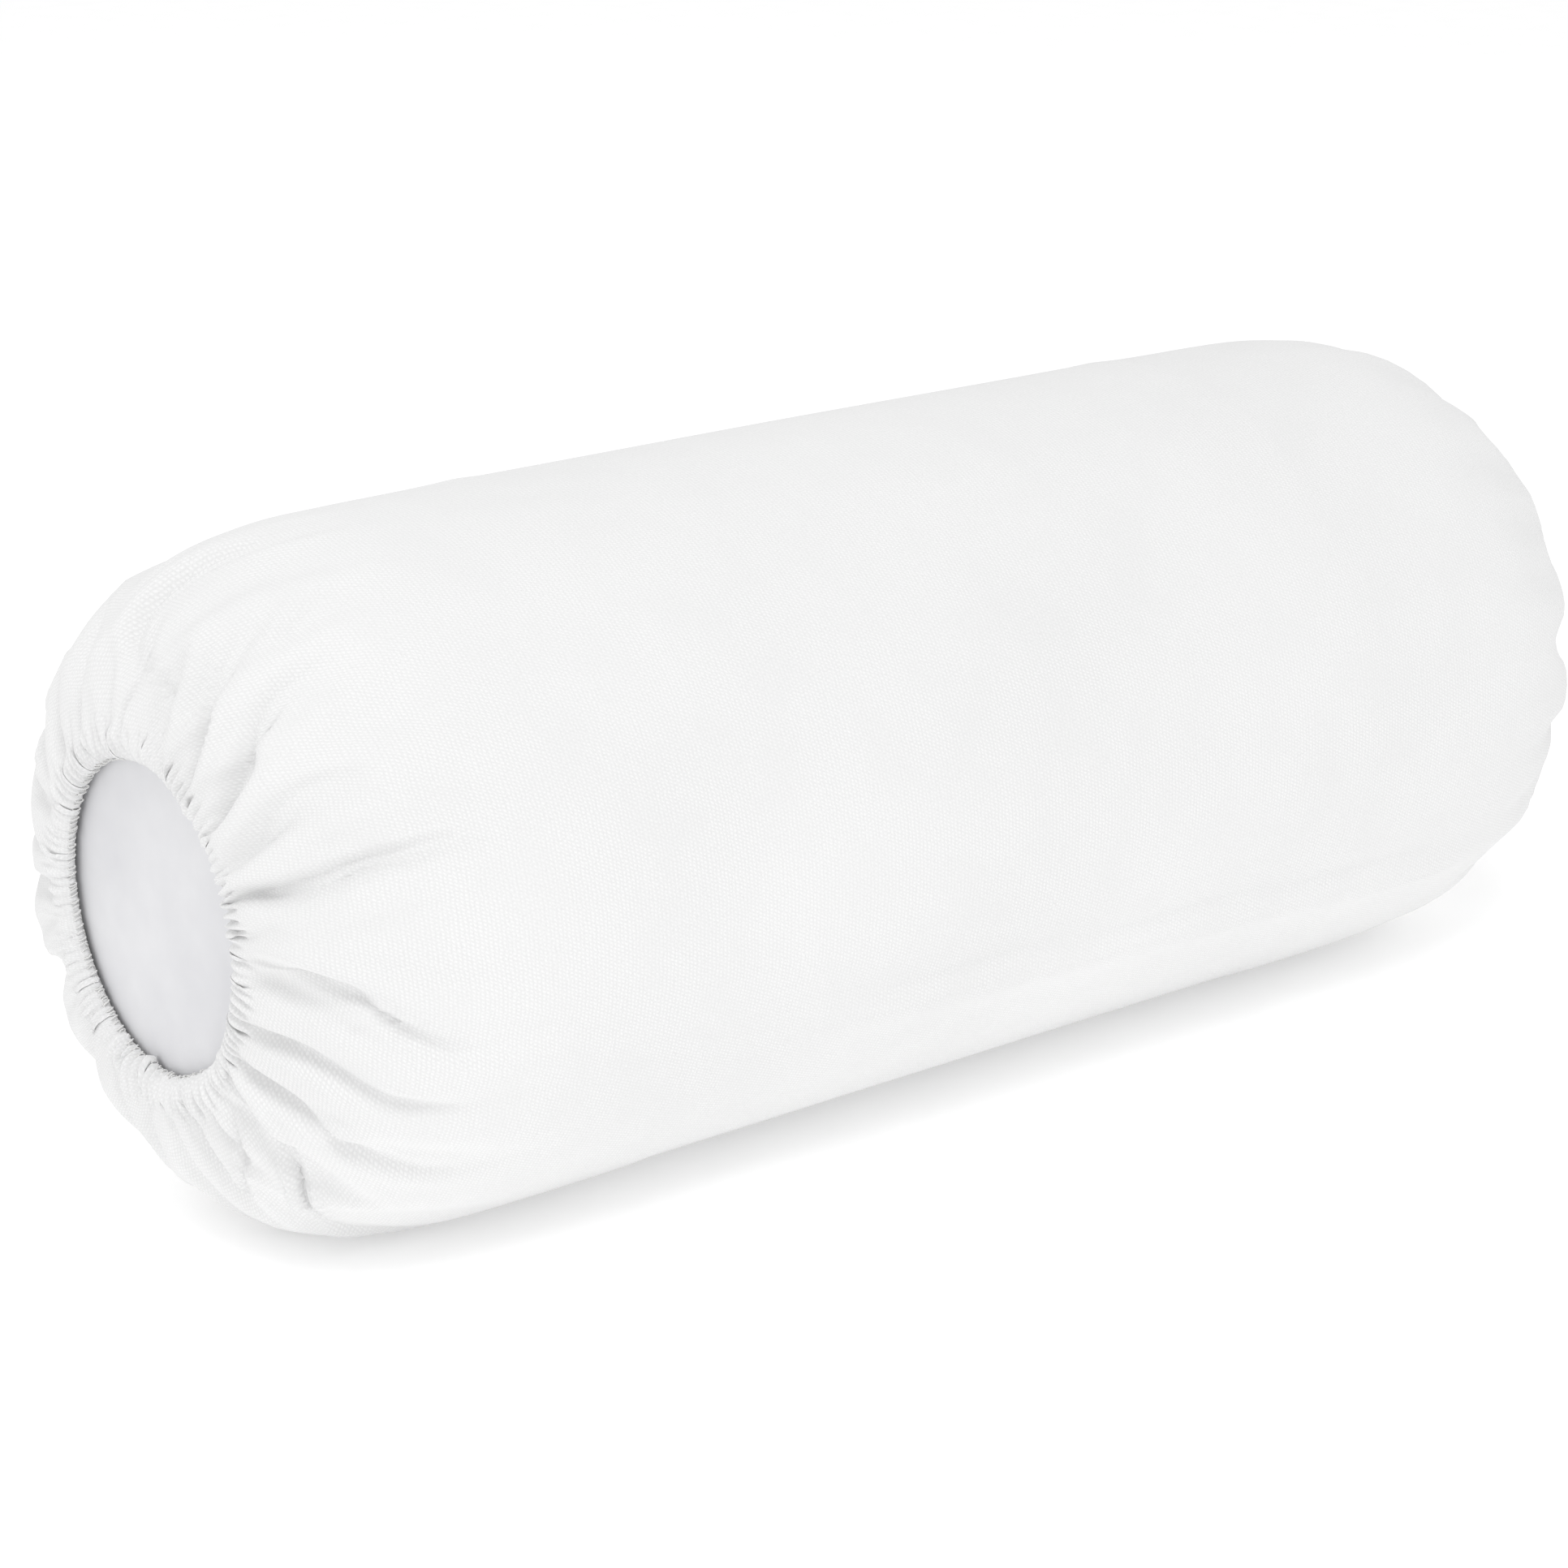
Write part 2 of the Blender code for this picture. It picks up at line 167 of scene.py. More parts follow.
def shoulder_point(depth: float, radius: float, angle: np.ndarray) -> tuple[np.ndarray, np.ndarray]:
    """Points of a rounded shoulder, a quarter of a superellipse.

    Args:
        depth: how far in from the end its front lies.
        radius: the barrel's radius.
        angle: from 0 at the front to a quarter turn at the barrel.

    Returns:
        Insets from the end, and radii.
    """
    along = np.cos(angle).clip(0) ** (2 / SHOULDER_POWER)
    out = np.sin(angle).clip(0) ** (2 / SHOULDER_POWER)
    return (
        SHOULDER_LENGTH - (SHOULDER_LENGTH - depth) * along,
        END_RADIUS + (radius - END_RADIUS) * out,
    )


def place_object(name: str, data: bpy.types.ID) -> bpy.types.Object:
    """Put a mesh, a light or a camera into the scene.

    Args:
        name: the object's name.
        data: what it shows.

    Returns:
        The new object.
    """
    placed = bpy.data.objects.new(name, data)
    bpy.context.scene.collection.objects.link(placed)
    return placed


def thicken(piece: bpy.types.Object, name: str, thickness: float) -> None:
    """Give a sheet its thickness, on its inner side.

    Args:
        piece: the sheet.
        name: the modifier's name.
        thickness: how thick it gets.
    """
    thick = piece.modifiers.new(name, "SOLIDIFY")
    thick.thickness = thickness
    thick.offset = -1.0


def spin_round(made: bmesh.types.BMesh, geometry: list, steps: int) -> None:
    """Sweep an outline once round the X axis.

    Args:
        made: the shape that holds it.
        geometry: the outline's points and edges.
        steps: faces in the round.
    """
    bmesh.ops.spin(made, geom=geometry, cent=(0, 0, 0), axis=(1, 0, 0), angle=FULL_TURN,
                   steps=steps, use_merge=True)


def finish_mesh(
    name: str,
    made: bmesh.types.BMesh,
    finish: bpy.types.Material,
    body: Body,
    nodes: Sequence[str],
    recalculate: bool = True,
) -> bpy.types.Object:
    """Make a piece out of a bmesh, dress it and put it on its body.

    Args:
        name: the piece's name.
        made: its shape, which is freed here.
        finish: its material.
        body: the body it rides on.
        nodes: the frame's nodes that it stands for.
        recalculate: whether its faces are turned outwards first.

    Returns:
        The new object.
    """
    if recalculate:
        bmesh.ops.recalc_face_normals(made, faces=made.faces)
    mesh = bpy.data.meshes.new(name)
    made.to_mesh(mesh)
    made.free()
    mesh.materials.append(finish)
    mesh.shade_smooth()
    mesh.set_sharp_from_angle(angle=SHARP_EDGE)
    piece = place_object(name, mesh)
    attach(piece, body.value)
    if nodes:
        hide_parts(*nodes)
    LOG.info("%s: %d faces, rides on %s", name, len(mesh.polygons), body.value)
    return piece


def sheet_mesh(rows: Sequence[np.ndarray], lengthwise: Sequence[float], girth: float) -> bmesh.types.BMesh:
    """Weave rings of points into a tube of cloth, with a UV map in metres of flat cloth.

    Neighbouring rings hold as many points as each other, or one holds twice as many. The faces look
    outwards where the rings follow each other along +X and turn from straight down towards the rear.

    Args:
        rows: rings of (x, y, z), each starting at the same angle.
        lengthwise: how far along the flat cloth each ring lies.
        girth: width of the flat cloth.

    Returns:
        The tube.
    """
    made = bmesh.new()
    layer = made.loops.layers.uv.new(CLOTH_UV)
    rings = [[made.verts.new(point) for point in row] for row in rows]
    for index in range(len(rings) - 1):
        first, second = rings[index], rings[index + 1]
        count = min(len(first), len(second))
        for cell in range(count):
            corners = []
            for ring, turn, place in ((first, 1, index), (second, -1, index + 1)):
                per = len(ring) // count
                span = range(cell * per, cell * per + per + 1)[::turn]
                corners += [(ring[k % len(ring)], k * girth / len(ring), lengthwise[place]) for k in span]
            face = made.faces.new([corner[0] for corner in corners])
            for loop, corner in zip(face.loops, corners):
                loop[layer].uv = corner[1:]
    return made


# ---------------------------------------------------------------- gathered cloth
FOLD_LEAD = 0.010  # how far before its start a fold begins to rise
FOLD_RISE = 0.004  # how far past its start it is full
FOLD_FADE = 0.6  # the share of its end from which it fades
FOLD_TAIL = 0.016  # how far past its end it is gone


@dataclass(frozen=True)
class Fold:
    """One ridge, or one crease where its height is negative, that runs away from the mouth."""

    from_angle: float  # degrees round the axis
    to_angle: float
    start: float  # mm along the cloth from its edge
    end: float
    height: float  # mm
    width: float  # mm

    def relief(self, turn: np.ndarray, run: np.ndarray, radius: np.ndarray) -> np.ndarray:
        """How far the fold lifts the cloth.

        Args:
            turn: angle of each point.
            run: distance of each point from the cloth's edge.
            radius: radius of each point, which turns an angle into a width.

        Returns:
            The lift, in metres.
        """
        start, end = self.start * MM, self.end * MM
        share = smoothstep(start, end, run)
        centre = np.radians(self.from_angle + (self.to_angle - self.from_angle) * share)
        across = wrapped(turn - centre) * radius / (self.width * MM)
        rise = smoothstep(start - FOLD_LEAD, start + FOLD_RISE, run)
        fade = smoothstep(FOLD_FADE * end, end + FOLD_TAIL, run)
        return self.height * MM * np.exp(-(across**2)) * (rise * (1 - fade))

    def flank(self, side: int) -> "Fold":
        """The softer swelling on one side of this fold, -1 or 1."""
        radius = (EDGE_RADIUS + COVER_RADIUS) / 2
        aside = side * math.degrees(2.3 * self.width * MM / radius)
        return Fold(
            from_angle=self.from_angle + 1.2 * aside,
            to_angle=self.to_angle + 0.85 * aside,
            start=self.start,
            end=self.end,
            height=-0.75 * self.height,
            width=1.5 * self.width,
        )


# The main folds of a gathered end. Between them come the fine ones.
MAIN_FOLDS = (
    Fold(210, 196, 14, 55, -4.5, 4.0),
    Fold(224, 211, 18, 58, -5.0, 4.5),
    Fold(217, 204, 14, 50, 5.0, 5.5),
    Fold(231, 220, 16, 56, 4.5, 6.0),
    Fold(177, 176, 8, 30, -3.0, 3.0),
    Fold(151, 144, 8, 62, -3.5, 4.0),
    Fold(160, 158, 10, 50, 3.0, 7.0),
    Fold(190, 184, 12, 52, 3.0, 7.0),
    Fold(237, 232, 18, 60, -3.5, 3.5),
    Fold(247, 247, 16, 84, -4.5, 3.5),
    Fold(242, 240, 16, 70, 3.5, 5.5),
    Fold(253, 253, 16, 70, 3.5, 6.0),
    Fold(260, 276, 22, 112, 4.5, 6.5),
    Fold(268, 281, 20, 96, -3.0, 5.0),
    Fold(279, 286, 20, 96, 4.0, 5.5),
    Fold(285, 291, 18, 84, -3.0, 4.0),
    Fold(290, 296, 20, 96, 4.0, 5.5),
    Fold(297, 306, 16, 84, -3.0, 4.5),
    Fold(302, 320, 18, 138, 5.0, 7.0),
    Fold(309, 336, 14, 84, -5.0, 5.0),
    Fold(317, 342, 12, 64, 4.0, 5.5),
    Fold(323, 326, 8, 30, -3.0, 3.0),
    Fold(338, 342, 6, 40, -3.5, 3.5),
    Fold(172, 182, 40, 116, -3.0, 5.0),
    Fold(203, 201, 60, 112, -1.6, 5.0),
    Fold(110, 124, 24, 60, -3.5, 4.5),
    Fold(100, 106, 10, 64, 3.5, 6.0),
    Fold(64, 58, 8, 60, -3.5, 4.5),
    Fold(75, 72, 12, 70, 3.5, 6.5),
    Fold(30, 22, 10, 60, 3.5, 6.0),
    Fold(48, 40, 10, 80, 3.5, 6.5),
)

# Crisp creases pressed into the settled cloth.
CRISP_CREASES = (
    Fold(211, 198, 14, 60, -4.2, 2.2),
    Fold(225, 212, 15, 64, -4.6, 2.4),
    Fold(203, 190, 16, 54, 1.6, 4.5),
    Fold(218, 205, 16, 60, 2.4, 4.5),
    Fold(232, 220, 18, 60, 1.8, 4.5),
    Fold(177, 176, 8, 36, -3.0, 1.7),
    Fold(150, 144, 8, 60, -1.8, 1.8),
    Fold(238, 231, 14, 58, -1.6, 2.2),
    Fold(248, 246, 16, 92, -4.2, 2.0),
    Fold(263, 281, 18, 100, -2.6, 2.3),
    Fold(284, 291, 16, 92, -2.4, 2.1),
    Fold(306, 336, 16, 92, -3.6, 2.2),
    Fold(297, 306, 16, 92, -2.4, 2.0),
    Fold(316, 340, 12, 60, -1.6, 1.8),
    Fold(324, 325, 8, 28, -1.8, 1.4),
    Fold(338, 341, 5, 34, -1.8, 1.4),
    Fold(170, 182, 42, 118, -3.0, 2.4),
    Fold(160, 174, 36, 112, 2.2, 5.0),
    Fold(196, 177, 19, 46, -1.2, 2.2),
    Fold(203, 201, 62, 108, -1.0, 2.6),
    Fold(241, 240, 50, 84, -1.0, 2.4),
    Fold(112, 124, 22, 56, -1.8, 1.8),
    Fold(64, 58, 8, 56, -1.8, 1.8),
    Fold(88, 84, 8, 40, -1.5, 1.6),
    Fold(20, 12, 6, 44, -1.7, 1.6),
    Fold(40, 34, 8, 60, -1.7, 1.8),
)


@dataclass
class GatheredEnd:
    """One end of the cover, drawn in by its elastic over the filled casing.

    The cloth is a net of springs with the length of the flat cloth. It starts as seeded folds, and
    settles over the casing, on the ground and against the elastic.
    """

    columns: int = 320
    fine_columns: int = 640
    cut_radius: float = 0.1250
    run: float = 0.200
    row_ratio: float = 1.15
    core_radius: float = 0.1235
    core_depth: float = 0.0086
    elastic_depth: float = 0.0064
    elastic_width: float = 0.0075
    tautness: float = 0.98
    fullness: float = 0.40
    main_height: float = 0.9
    stiffness: float = 0.07
    damping: float = 0.90
    weight: float = 2e-7
    ground: float = -0.1232
    fine_folds: int = 76
    fine_fold_height: float = 0.0030
    rungs: int = 128
    ruck: float = 2.0 * MM
    ruck_run: float = 0.0095
    ruck_fade: float = 0.0042
    seam_angle: float = math.radians(5.0)
    tuck: float = 3.0 * MM
    tuck_width: float = 2.4 * MM
    tuck_run: float = 0.006
    crowded_share: float = 0.3
    short_share: float = 0.45
    opening_passes: int = 45
    seed: int = 11

    def outline(self) -> tuple[np.ndarray, np.ndarray, np.ndarray]:
        """The end's smooth profile: distance along the cloth, inset and radius."""
        angle = np.linspace(0, math.pi / 2, 2000)
        hem_inset = HEM_INSET * (1 - np.sin(angle))
        hem_radius = END_RADIUS - (END_RADIUS - EDGE_RADIUS) * np.cos(angle)
        inset, radius = shoulder_point(0.0, COVER_RADIUS - 0.0003, angle)
        inset = np.concatenate([hem_inset[:-1], inset, [SHOULDER_LENGTH + 0.15]])
        radius = np.concatenate([hem_radius[:-1], radius, radius[-1:]])
        run = np.concatenate([[0], np.cumsum(np.hypot(np.diff(inset), np.diff(radius)))])
        return run, inset, radius

    def grid(self, columns: int) -> tuple[np.ndarray, np.ndarray, float, float]:
        """Angles and runs of a net, with the spacings of its columns and rows."""
        across = FULL_TURN * self.cut_radius / columns
        along = across * self.row_ratio
        rows = int(self.run / along) + 1
        turn, run = np.meshgrid(np.arange(columns) * FULL_TURN / columns, np.arange(rows) * along)
        return turn, run, across, along

    def profile_rows(self, run: np.ndarray) -> tuple[np.ndarray, np.ndarray, np.ndarray, np.ndarray]:
        """The smooth profile at each row: inset, radius, and its normal's shares forwards and outwards."""
        runs, insets, radii = self.outline()
        inset, radius = np.interp(run[:, 0], runs, insets), np.interp(run[:, 0], runs, radii)
        slope_x, slope_r = np.gradient(inset), np.gradient(radius)
        length = np.hypot(slope_x, slope_r)
        return inset[:, None], radius[:, None], (slope_r / length)[:, None], (slope_x / length)[:, None]

    def lifted(self, turn: np.ndarray, run: np.ndarray, lift: np.ndarray) -> np.ndarray:
        """Points on the smooth profile, lifted along its normal."""
        inset, radius, forwards, outwards = self.profile_rows(run)
        inset = inset - forwards * lift
        radius = radius + outwards * lift
        return np.stack([inset, radius * np.sin(turn), -radius * np.cos(turn)], -1)

    def start(self) -> np.ndarray:
        """The coarse net before it settles: the main folds, with finer ones between them."""
        rng = np.random.default_rng(self.seed)
        turn, run, _, _ = self.grid(self.columns)
        runs, _, radii = self.outline()
        radius = np.interp(run, runs, radii)
        lift = self.main_height * sum(fold.relief(turn, run, radius) for fold in MAIN_FOLDS)
        for index in range(self.fine_folds):
            centre = (index + rng.uniform(-0.38, 0.38)) * FULL_TURN / self.fine_folds
            reach = rng.choice([0.010, 0.018, 0.030, 0.055], p=[0.4, 0.3, 0.2, 0.1])
            skew = rng.normal() * 1.8
            across = wrapped(turn - centre - skew * run) / (0.026 + 0.8 * run)
            lift = lift + self.fine_fold_height * np.exp(-(across**2) - run / reach)
        lift = lift + rng.normal(size=turn.shape) * 0.0001
        return self.lifted(turn, run, 0.0004 + lift)

    def refine(self, net: np.ndarray) -> np.ndarray:
        """Resample a coarse net onto the fine one, and ruck the band at the elastic."""
        rng = np.random.default_rng(self.seed + 1)
        turn, run, _, along = self.grid(self.fine_columns)
        _, _, _, coarse_along = self.grid(self.columns)
        rows = np.clip(run[:, 0] / coarse_along, 0, len(net) - 1.001)
        low = rows.astype(int)
        share = (rows - low)[:, None, None]
        by_row = net[low] * (1 - share) + net[low + 1] * share
        half = (by_row * 9 + np.roll(by_row, -1, 1) * 9 - np.roll(by_row, 1, 1) - np.roll(by_row, -2, 1)) / 16
        fine = np.stack([by_row, half], 2).reshape(len(run), self.fine_columns, 3)
        lift = np.zeros_like(turn)
        for index in range(self.rungs):
            centre = (index + rng.uniform(-0.22, 0.22)) * FULL_TURN / self.rungs
            reach = rng.choice([0.008, 0.012, 0.020], p=[0.4, 0.4, 0.2])
            across = wrapped(turn - centre - rng.normal() * 0.5 * run) / 0.016
            lift += rng.uniform(0.7, 1.2) * MM * np.exp(-(across**2) - (run / reach) ** 2)
        fine[..., 0] -= lift - lift.mean(1, keepdims=True)
        return fine

    def crease(self, net: np.ndarray, folds: Sequence[Fold], passes: int) -> np.ndarray:
        """Press crisp creases and the hem's fine rucks into the settled net, and tuck its edge in
        where the seam ends.

        Args:
            net: the settled net.
            folds: the crisp creases.
            passes: how often the net is eased first.

        Returns:
            The creased net.
        """
        turn, run, _, _ = self.grid(self.fine_columns)
        _, radius, forwards, outwards = self.profile_rows(run)
        made = net.copy()
        self.ease(made, 0.5 * smoothstep(0.006, 0.014, run), passes)
        self.part_overlaps(made, run)
        lift = np.zeros_like(turn)
        for fold in folds:
            lift += fold.relief(turn, run, radius)
            for side in (-1, 1):
                lift += fold.flank(side).relief(turn, run, radius)
        lift += self.rucks(turn, run)
        out = np.hypot(made[..., 1], made[..., 2])
        made[..., 0] -= forwards * lift
        made[..., 1:] *= (1 + outwards * lift / out)[..., None]
        across = wrapped(turn - self.seam_angle) * EDGE_RADIUS / self.tuck_width
        tuck = self.tuck * np.exp(-(across**2) - (run / self.tuck_run) ** 2) * (1 + 0.5 * np.tanh(2 * across))
        made[..., 1:] *= (1 - tuck / out)[..., None]
        self.keep_outside(made)
        return made

    def rucks(self, turn: np.ndarray, run: np.ndarray) -> np.ndarray:
        """How far the hem's fine rucks lift the cloth. They are lower on the near end's rear half."""
        phase = self.rungs * turn + 1.2 * np.sin(7 * turn + 1) + 0.9 * np.sin(17 * turn)
        phase = phase + 60 * run * np.sin(5 * turn)
        ruck = 0.2 - 0.4 * np.cos(phase) - 0.6 * (1 - np.abs(np.sin(phase / 2)))
        ragged = 0.0030 * np.sin(11 * turn + 2) * np.sin(23 * turn)
        past = np.clip(run - self.ruck_run - ragged, 0, None)
        share = (0.85 + 0.25 * np.sin(9 * turn)) * (1 - 0.62 * np.sin(turn).clip(0))
        return self.ruck * share * ruck * np.exp(-((past / self.ruck_fade) ** 2))

    @staticmethod
    def ease(net: np.ndarray, share: np.ndarray, passes: int) -> None:
        """Move every point towards the middle of its four neighbours.

        Args:
            net: the net, changed in place.
            share: how far each point moves in a pass.
            passes: how many passes are made.
        """
        share = share[1:-1, :, None]
        for _ in range(passes):
            sides = np.roll(net, 1, 1)[1:-1] + np.roll(net, -1, 1)[1:-1]
            net[1:-1] += share * ((sides + net[2:] + net[:-2]) / 4 - net[1:-1])

    def part_overlaps(self, net: np.ndarray, run: np.ndarray) -> None:
        """Open the places where the cloth has folded over itself."""
        angle = np.arctan2(net[..., 1], -net[..., 2])
        step = wrapped(np.roll(angle, -1, 1) - angle)
        least = self.crowded_share * FULL_TURN / self.fine_columns
        crowded = (np.minimum(step, np.roll(step, 1, 1)) < least).astype(float)
        spacing = FULL_TURN * self.cut_radius / self.fine_columns * self.row_ratio
        short = np.diff(net[..., 0] + np.hypot(net[..., 1], net[..., 2]), axis=0) < self.short_share * spacing
        crowded[1:] = np.maximum(crowded[1:], short)
        crowded[:-1] = np.maximum(crowded[:-1], short)
        for _ in range(4):
            around = np.maximum(np.roll(crowded, 1, 1), np.roll(crowded, -1, 1))
            around[1:-1] = np.maximum(around[1:-1], np.maximum(crowded[2:], crowded[:-2]))
            crowded = np.maximum(crowded, 0.8 * around)
        self.ease(net, 0.5 * crowded * smoothstep(0.010, 0.016, run), self.opening_passes)

    @staticmethod
    def pull(
        one: np.ndarray,
        other: np.ndarray,
        one_free: np.ndarray,
        other_free: np.ndarray,
        rest: np.ndarray | float,
        stretch: float,
        squeeze: np.ndarray | float,
    ) -> tuple[np.ndarray, np.ndarray]:
        """Moves that bring pairs of points back towards their rest distance.

        Args:
            one: first points of the pairs.
            other: second points.
            one_free: 1 where a first point may move, 0 where it is held.
            other_free: the same for the second points.
            rest: rest distance.
            stretch: share of a stretch that is taken back.
            squeeze: share of a squeeze that is taken back.

        Returns:
            The moves of the first and of the second points.
        """
        gap = other - one
        length = np.sqrt((gap * gap).sum(-1, keepdims=True)) + 1e-9
        change = length - rest
        share = np.where(change > 0, stretch, squeeze)
        move = share * change / length / (one_free + other_free + 1e-9) * gap
        return one_free * move, -other_free * move

    def pull_round(self, net: np.ndarray, free: np.ndarray, step: int, shift: int, rest: np.ndarray,
                   stretch: float, squeeze: np.ndarray | float) -> np.ndarray:
        """Pull the pairs that lie step columns apart, starting shift columns on."""
        rolled = np.roll(net, -shift, 1) if shift else net
        rows, columns = rolled.shape[:2]
        blocks = rolled.reshape(rows, columns // (2 * step), 2 * step, 3)
        hold = free[:, None, None, None]
        rest = rest[:, None, None, None]
        if isinstance(squeeze, np.ndarray):
            squeeze = squeeze[:, None, None, None]
        one, other = self.pull(blocks[:, :, :step], blocks[:, :, step:], hold, hold, rest, stretch, squeeze)
        blocks[:, :, :step] += one
        blocks[:, :, step:] += other
        return np.roll(rolled, shift, 1) if shift else rolled

    def pull_along(self, net: np.ndarray, free: np.ndarray, step: int, shift: int, rest: float,
                   stretch: float, squeeze: float) -> None:
        """Pull the pairs that lie step rows apart, starting shift rows on."""
        count = (len(net) - shift) // (2 * step)
        span = slice(shift, shift + count * 2 * step)
        blocks = net[span].reshape(count, 2 * step, net.shape[1], 3)
        hold = free[span].reshape(count, 2 * step, 1, 1)
        one, other = self.pull(blocks[:, :step], blocks[:, step:], hold[:, :step], hold[:, step:],
                               rest, stretch, squeeze)
        blocks[:, :step] += one
        blocks[:, step:] += other

    def pull_across(self, net: np.ndarray, free: np.ndarray, lean: int, shift: int, rest: np.ndarray,
                    stretch: float, squeeze: float) -> None:
        """Pull the diagonals of the net's cells, which keeps its squares square."""
        rest = rest[shift:-1:2, None, None]
        first = net[shift:-1:2]
        second = np.roll(net[shift + 1 :: 2], -lean, 1)
        one, other = self.pull(first, second, free[shift:-1:2, None, None], free[shift + 1 :: 2, None, None],
                               rest, stretch, squeeze)
        net[shift:-1:2] += one
        net[shift + 1 :: 2] += np.roll(other, lean, 1)

    def keep_outside(self, net: np.ndarray) -> None:
        """Push the cloth out of the casing and the elastic, and off the ground."""
        inset = net[..., 0]
        radius = np.hypot(net[..., 1], net[..., 2]) + 1e-9
        depth = SHOULDER_LENGTH - self.core_depth
        along = ((SHOULDER_LENGTH - inset) / depth).clip(0)
        out = ((radius - END_RADIUS) / (self.core_radius - END_RADIUS)).clip(0)
        size = along**SHOULDER_POWER + out**SHOULDER_POWER
        inside = (size < 1) & (inset < SHOULDER_LENGTH) & (radius > END_RADIUS)
        grow = np.where(inside, 1 / np.maximum(size, 1e-6) ** (1 / SHOULDER_POWER), 1.0)
        new_radius = np.where(inside, END_RADIUS + (radius - END_RADIUS) * grow, radius)
        new_inset = np.where(inside, SHOULDER_LENGTH - (SHOULDER_LENGTH - inset) * grow, inset)
        new_radius = np.where(inset >= SHOULDER_LENGTH, np.maximum(radius, self.core_radius), new_radius)
        behind = (radius <= END_RADIUS + 0.0005) & (inset > self.elastic_depth)
        new_inset = np.where(behind, self.elastic_depth, new_inset)
        net[..., 0] = new_inset
        net[..., 1:] *= (new_radius / radius)[..., None]
        net[..., 2] = np.maximum(net[..., 2], self.ground)

    def settle(self, net: np.ndarray, columns: int, passes: int) -> np.ndarray:
        """Let a net settle.

        Args:
            net: rows of (inset, y, z) about the axis.
            columns: how many columns it has.
            passes: how many times every spring is pulled.

        Returns:
            The settled net.
        """
        _, run, across, along = self.grid(columns)
        net = net.astype(np.float32)
        free = np.ones(len(net), np.float32)
        free[-3:] = 0
        held = free == 0
        soft = (self.stiffness * smoothstep(0.008, 0.050, run[:, 0])).astype(np.float32)
        along *= self.tautness
        runs, insets, radii = self.outline()
        smooth = np.interp(run[:, 0], runs, radii)
        share = self.fullness - 0.15 * np.exp(-run[:, 0] / 0.006)
        width = (smooth + (self.cut_radius - smooth) * share) * FULL_TURN / columns
        width = width.astype(np.float32)
        diagonal = np.hypot(width, along).astype(np.float32)
        band = run[:, 0] < self.elastic_width
        band_inset = np.interp(run[band, :1], runs, insets).astype(np.float32)
        band_radius = np.interp(run[band, :1], runs, radii).astype(np.float32)
        band_play = (0.25 * MM + 0.11 * run[band, :1]).astype(np.float32)
        before = net.copy()
        for index in range(passes):
            moved = net + (net - before) * self.damping
            moved[held] = net[held]
            before, net = net, moved
            net[..., 2] -= self.weight
            for shift in (0, 1):
                net = self.pull_round(net, free, 1, shift, width, 0.9, 0.5)
                self.pull_along(net, free, 1, shift, along, 0.9, 0.5)
            for lean in (1, -1):
                for shift in (0, 1):
                    self.pull_across(net, free, lean, shift, diagonal, 0.25, 0.10)
            for shift in (0, 4):
                net = self.pull_round(net, free, 4, shift, 4 * width, 0.0, soft)
                self.pull_along(net, free, 4, shift, 4 * along, 0.0, 0.05)
            rim = np.hypot(net[band, :, 1], net[band, :, 2])
            astray = rim - band_radius
            astray -= astray.clip(-band_play, band_play)
            net[band, :, 1:] *= (1 - 0.3 * astray / rim)[..., None]
            astray = net[band, :, 0] - band_inset
            astray -= astray.clip(-2 * band_play, band_play)
            net[band, :, 0] -= 0.3 * astray
            self.keep_outside(net)
        return net.astype(np.float64)

    def solve(self, passes: int = 320, fine_passes: int = 150) -> np.ndarray:
        """Settle the coarse net, refine it and settle it again.

        Args:
            passes: passes on the coarse net.
            fine_passes: passes on the fine net.

        Returns:
            Rows of (inset, y, z) about the axis, from the cloth's edge to the barrel.
        """
        coarse = self.settle(self.start(), self.columns, passes)
        return self.settle(self.refine(coarse), self.fine_columns, fine_passes)


# ---------------------------------------------------------------- finishes
@dataclass(frozen=True)
class BrushedCotton:
    """Bleached cotton flannel: matt, with a fine diagonal weave under a short nap.

    Real threads lie 0.4 mm apart. They are drawn 1.2 mm apart, so that the weave shows.
    """

    name: str = "brushed_cotton_white"
    light: str = "F4F4F4"
    dark: str = "E6E6E6"
    thread: float = 1.2 * MM
    nap: float = 0.9 * MM
    patch: float = 26 * MM
    cloud: float = 140 * MM
    relief: float = 0.20 * MM

    def material(self) -> bpy.types.Material:
        """Build the material."""
        made, tree, shader = new_material(self.name, roughness=0.95, specular=0.25)
        shader.inputs["Sheen Weight"].default_value = 0.15
        shader.inputs["Sheen Roughness"].default_value = 0.5
        cloth = add_node(tree, "UVMap", {"uv_map": CLOTH_UV}).outputs["UV"]
        turned = add_node(tree, "Mapping", {"Rotation": (0, 0, math.radians(28))}, {"Vector": cloth})
        twill = threads(tree, turned.outputs["Vector"], "X", self.thread, 2.2, 1.4)
        weft = threads(tree, cloth, "Y", 1.3 * self.thread, 2.6, 1.4)
        nap = noise(tree, cloth, 1 / self.nap, 3.0, 0.6)
        patch = noise(tree, cloth, 1 / self.patch, 3.0, 0.6)
        worn = {"From Min": 0.40, "From Max": 0.62, "To Min": 0.45, "To Max": 1.0}
        shown = add_node(tree, "MapRange", worn, {"Value": patch}).outputs[0]
        weave = calculate(tree, "MULTIPLY", calculate(tree, "MULTIPLY", twill, weft), shown)
        height = calculate(tree, "ADD", weave, nap)
        emboss(tree, shader, height, 0.55, self.relief)
        cloud = noise(tree, cloth, 1 / self.cloud, 2.0)
        tone = calculate(tree, "MULTIPLY", calculate(tree, "MULTIPLY_ADD", cloud, 0.55, height), 0.50)
        blend_two(tree, shader, tone, self.dark, self.light)
        return made


